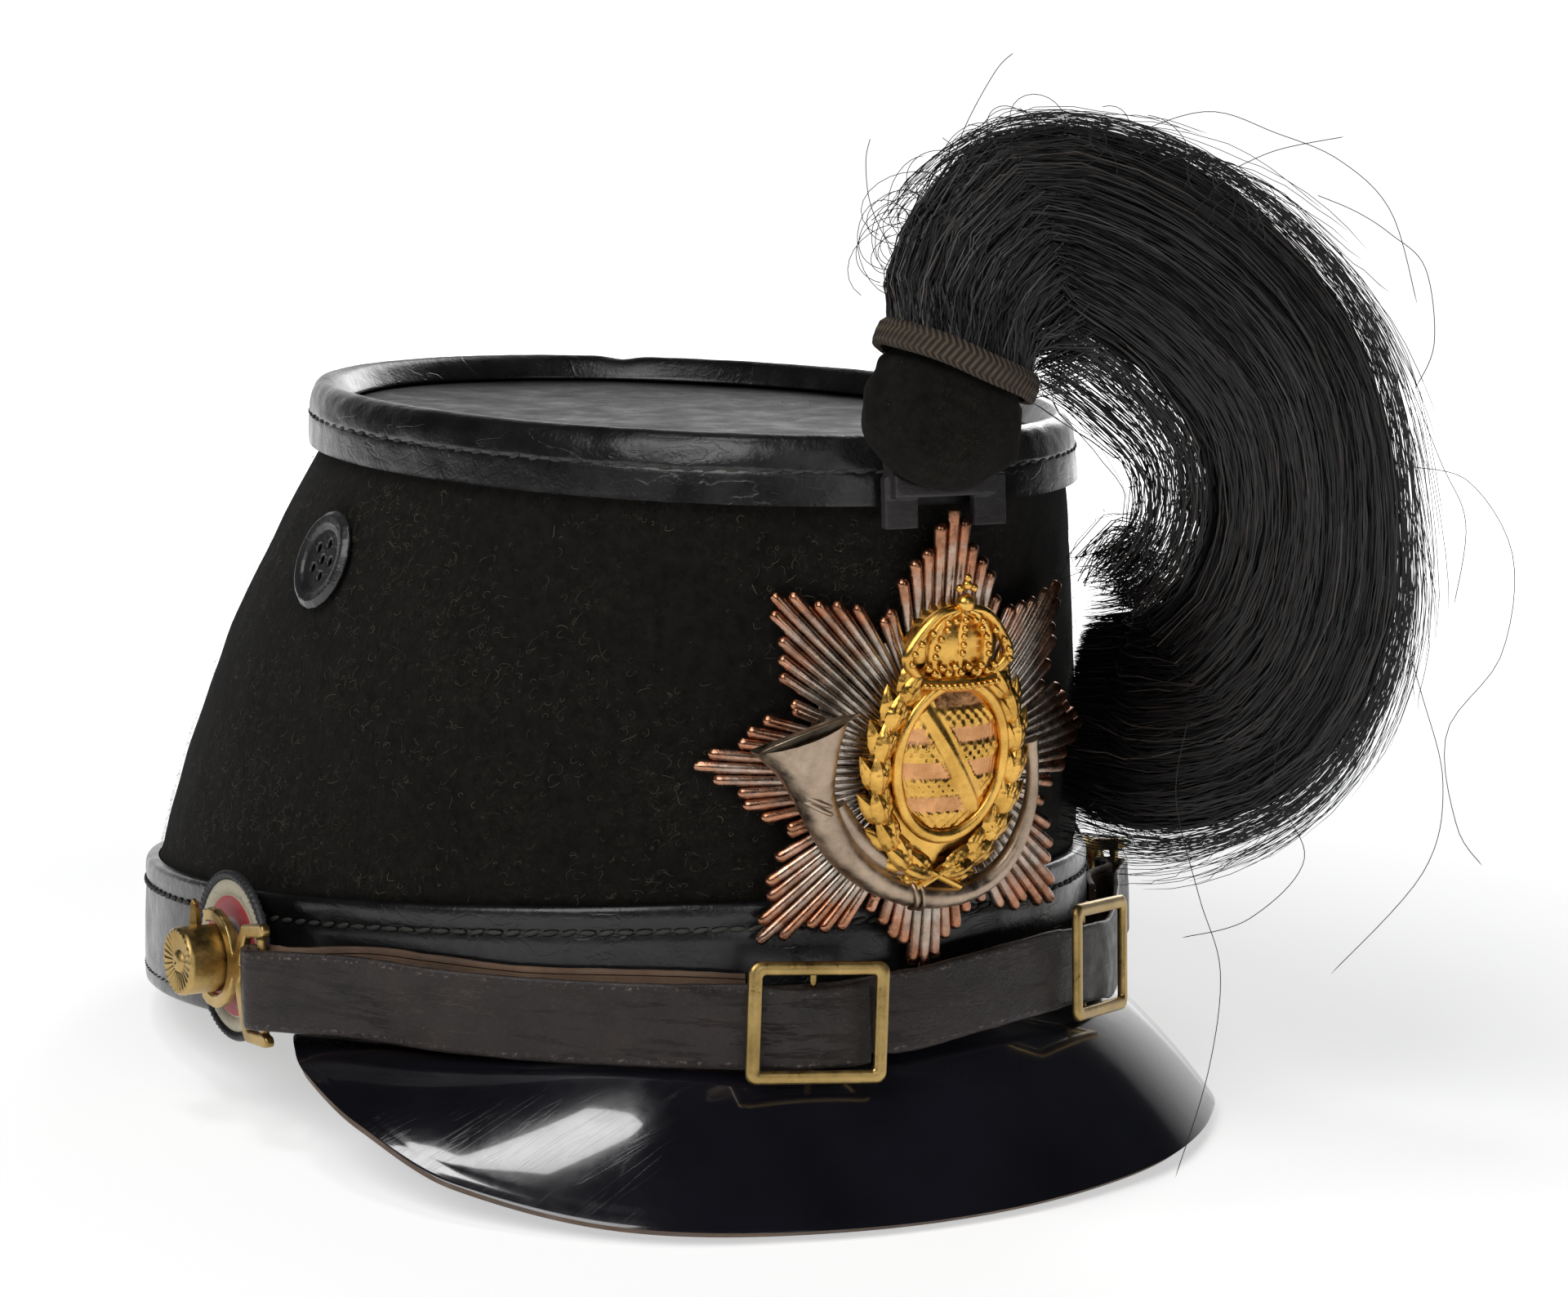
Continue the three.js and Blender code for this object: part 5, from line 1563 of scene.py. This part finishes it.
def loose_hairs():
    random.seed(21)
    paths = []
    for row in STRAYS:
        points = [Vector(p) for p in curve_through(row, 40)]
        paths.append(strand_edges(points, 0.075, 0))
    # curls over the tie
    for i in range(CURLS):
        t = random.uniform(0.08, 0.36)
        p, side, deep, half, thick = tail_frame(t)
        c = p + side * half * random.uniform(0.55, 0.98) + deep * thick * random.uniform(-0.6, 0.8)
        r = random.uniform(2.5, 7.5)
        turns = random.uniform(0.5, 1.15) * 2 * math.pi
        first = random.uniform(0, 2 * math.pi)
        tip = side * random.uniform(-0.4, 0.4) + deep * random.uniform(-0.6, 0.6)
        along = side.cross(deep)
        points = []
        for k in range(25):
            f = k / 24
            g = first + turns * f
            w = r * (1 - 0.35 * f)
            points.append(c + side * math.cos(g) * w + along * math.sin(g) * w * 1.25 + tip * w * math.sin(g))
        paths.append(strand_edges(points, 0.065, 0))
    # wisps that stand off the tail all along its outer side and below it
    for i in range(WISPS):
        a = random.choice((1, 1, -1)) * random.uniform(0.95, 1.12)
        start = random.uniform(0.1, 0.7)
        stop = min(1.0, start + random.uniform(0.15, 0.45))
        lift = random.uniform(0.05, 0.42)
        b = random.uniform(-0.7, 0.7)
        seed = random.uniform(0, 50)
        points = []
        for k in range(21):
            f = k / 20
            p, side, deep, half, thick = tail_frame(lerp(start, stop, f))
            bow = lift * f * f + 0.12 * noise.noise(Vector((seed, f * 3, 0)))
            points.append(p + side * half * (a + math.copysign(bow, a)) + deep * thick * (b + 0.2 * bow))
        paths.append(strand_edges(points, 0.06, 0))
    # frayed ends under the tail
    for i in range(FRAYED):
        p, side, deep, half, thick = tail_frame(random.uniform(0.9, 1.0))
        along = side.cross(deep)
        c = p + side * half * random.uniform(0.2, 1.0) + deep * thick * random.uniform(-0.6, 0.8)
        points = []
        bend = random.uniform(-1.3, 1.3)
        head = random.uniform(-0.9, 0.9)
        long = random.uniform(6, 17)
        for k in range(15):
            g = head + bend * k / 14
            points.append(c.copy())
            c = c - along * math.cos(g) * long / 14 + side * math.sin(g) * long / 14
        paths.append(strand_edges(points, 0.06, 0))
    o = ribbons("plume_loose_hairs", paths, [(0.006, 0.0055, 0.0055)] * len(paths))
    dress(o, HAIR, "horsehair")


loose_hairs()

# Camera at the photograph's angle
AZ, EL, ROLL = math.radians(31.04), math.radians(10.82), math.radians(2.5)
back = Vector((-math.sin(AZ) * math.cos(EL), -math.cos(AZ) * math.cos(EL), math.sin(EL)))
right = Vector((math.cos(AZ), -math.sin(AZ), 0))
up = back.cross(right)
rolled_right = right * math.cos(ROLL) + up * math.sin(ROLL)
rolled_up = up * math.cos(ROLL) - right * math.sin(ROLL)
# metres: how far the view's middle lies beside and above the hat's own foot, and the camera from it
AIM_ASIDE, AIM_UP, DISTANCE = 0.03164, 0.06372, 0.795
aim = right * AIM_ASIDE + Vector((0, 0, AIM_UP)) + HAT_FOOT
# the photograph is 1920 wide, and its focal length in the same units is 5048.86
SENSOR = 36
cam = bpy.data.cameras.new("camera")
cam.lens = 5048.86 / 1920 * SENSOR
cam.sensor_width = SENSOR
eye = bpy.data.objects.new("camera", cam)
bpy.context.scene.collection.objects.link(eye)
eye.matrix_world = frame_of(rolled_right, rolled_up, back, aim + back * DISTANCE)
bpy.context.scene.camera = eye

# Pale floor and soft studio light
bpy.ops.mesh.primitive_circle_add(vertices=128, radius=1.2, fill_type="NGON", location=(0, 0, 0))
floor = bpy.context.object
floor.name = "floor"
# the floor glows as painted light, more so away from the hat; the dimmer glow near the hat is a painted shadow
# round it
FLOOR = Paint("pale_floor", rough=0.95, shine=0.0)
FLOOR.colour((0.82, 0.82, 0.82))
FLOOR.s.inputs["Emission Color"].default_value = (1, 1, 1, 1)
from_hat = FLOOR.node("ShaderNodeVectorMath")
from_hat.operation = "LENGTH"
FLOOR.link(FLOOR.coord.outputs["Object"], from_hat.inputs[0])
FLOOR.link(FLOOR.ramp(from_hat.outputs["Value"], (0.18, 0.52), (0.8, 1.1)), FLOOR.s.inputs["Emission Strength"])
floor.data.materials.append(FLOOR.m)

# the studio is dark but for a white backdrop behind the hat
world = bpy.data.worlds.new("studio")
bpy.context.scene.world = world
world.use_nodes = True
sky = world.node_tree
toward = sky.nodes.new("ShaderNodeTexCoord")
facing = sky.nodes.new("ShaderNodeVectorMath")
facing.operation = "DOT_PRODUCT"
facing.inputs[1].default_value = (-back.x, -back.y, -0.25)
fade = sky.nodes.new("ShaderNodeValToRGB")
WHITE, DARK = (1.1, 1.1, 1.1, 1), (0.02, 0.021, 0.024, 1)
for stop, at, tone in zip(fade.color_ramp.elements, (0.6, 0.94), (DARK, WHITE)):
    stop.position = at
    stop.color = tone
sky.links.new(toward.outputs["Generated"], facing.inputs[0])
sky.links.new(facing.outputs["Value"], fade.inputs["Fac"])
sky.links.new(fade.outputs["Color"], sky.nodes["Background"].inputs["Color"])
# the backdrop is white where it is looked at, and lights the hat only from behind
rays = sky.nodes.new("ShaderNodeLightPath")
white = sky.nodes.new("ShaderNodeBackground")
white.inputs["Color"].default_value = WHITE
either = sky.nodes.new("ShaderNodeMixShader")
sky.links.new(rays.outputs["Is Camera Ray"], either.inputs["Fac"])
sky.links.new(sky.nodes["Background"].outputs["Background"], either.inputs[1])
sky.links.new(white.outputs["Background"], either.inputs[2])
sky.links.new(either.outputs["Shader"], sky.nodes["World Output"].inputs["Surface"])
bpy.context.scene.view_settings.view_transform = "Standard"


def softbox(name, az, el, far, width, height, power):
    """A soft light seen from the hat at that bearing from its front and height above it."""
    a, e = math.radians(az), math.radians(el)
    away = Vector((math.sin(a) * math.cos(e), -math.cos(a) * math.cos(e), math.sin(e)))
    light = bpy.data.lights.new(name, "AREA")
    light.shape = "RECTANGLE"
    light.size, light.size_y = width, height
    light.energy = power
    o = bpy.data.objects.new(name, light)
    bpy.context.scene.collection.objects.link(o)
    o.location = Vector((0, 0, 0.06)) + away * far
    o.rotation_euler = away.to_track_quat("Z", "Y").to_euler()


softbox("key", -62, 42, 1.3, 0.8, 0.8, 9.5)
softbox("overhead_left", -76, 74, 1.1, 0.2, 0.2, 1.25)
softbox("front_fill", -5, 22, 1.6, 0.5, 0.9, 2.5)
softbox("right_back", 132, 26, 1.4, 0.5, 0.9, 5)
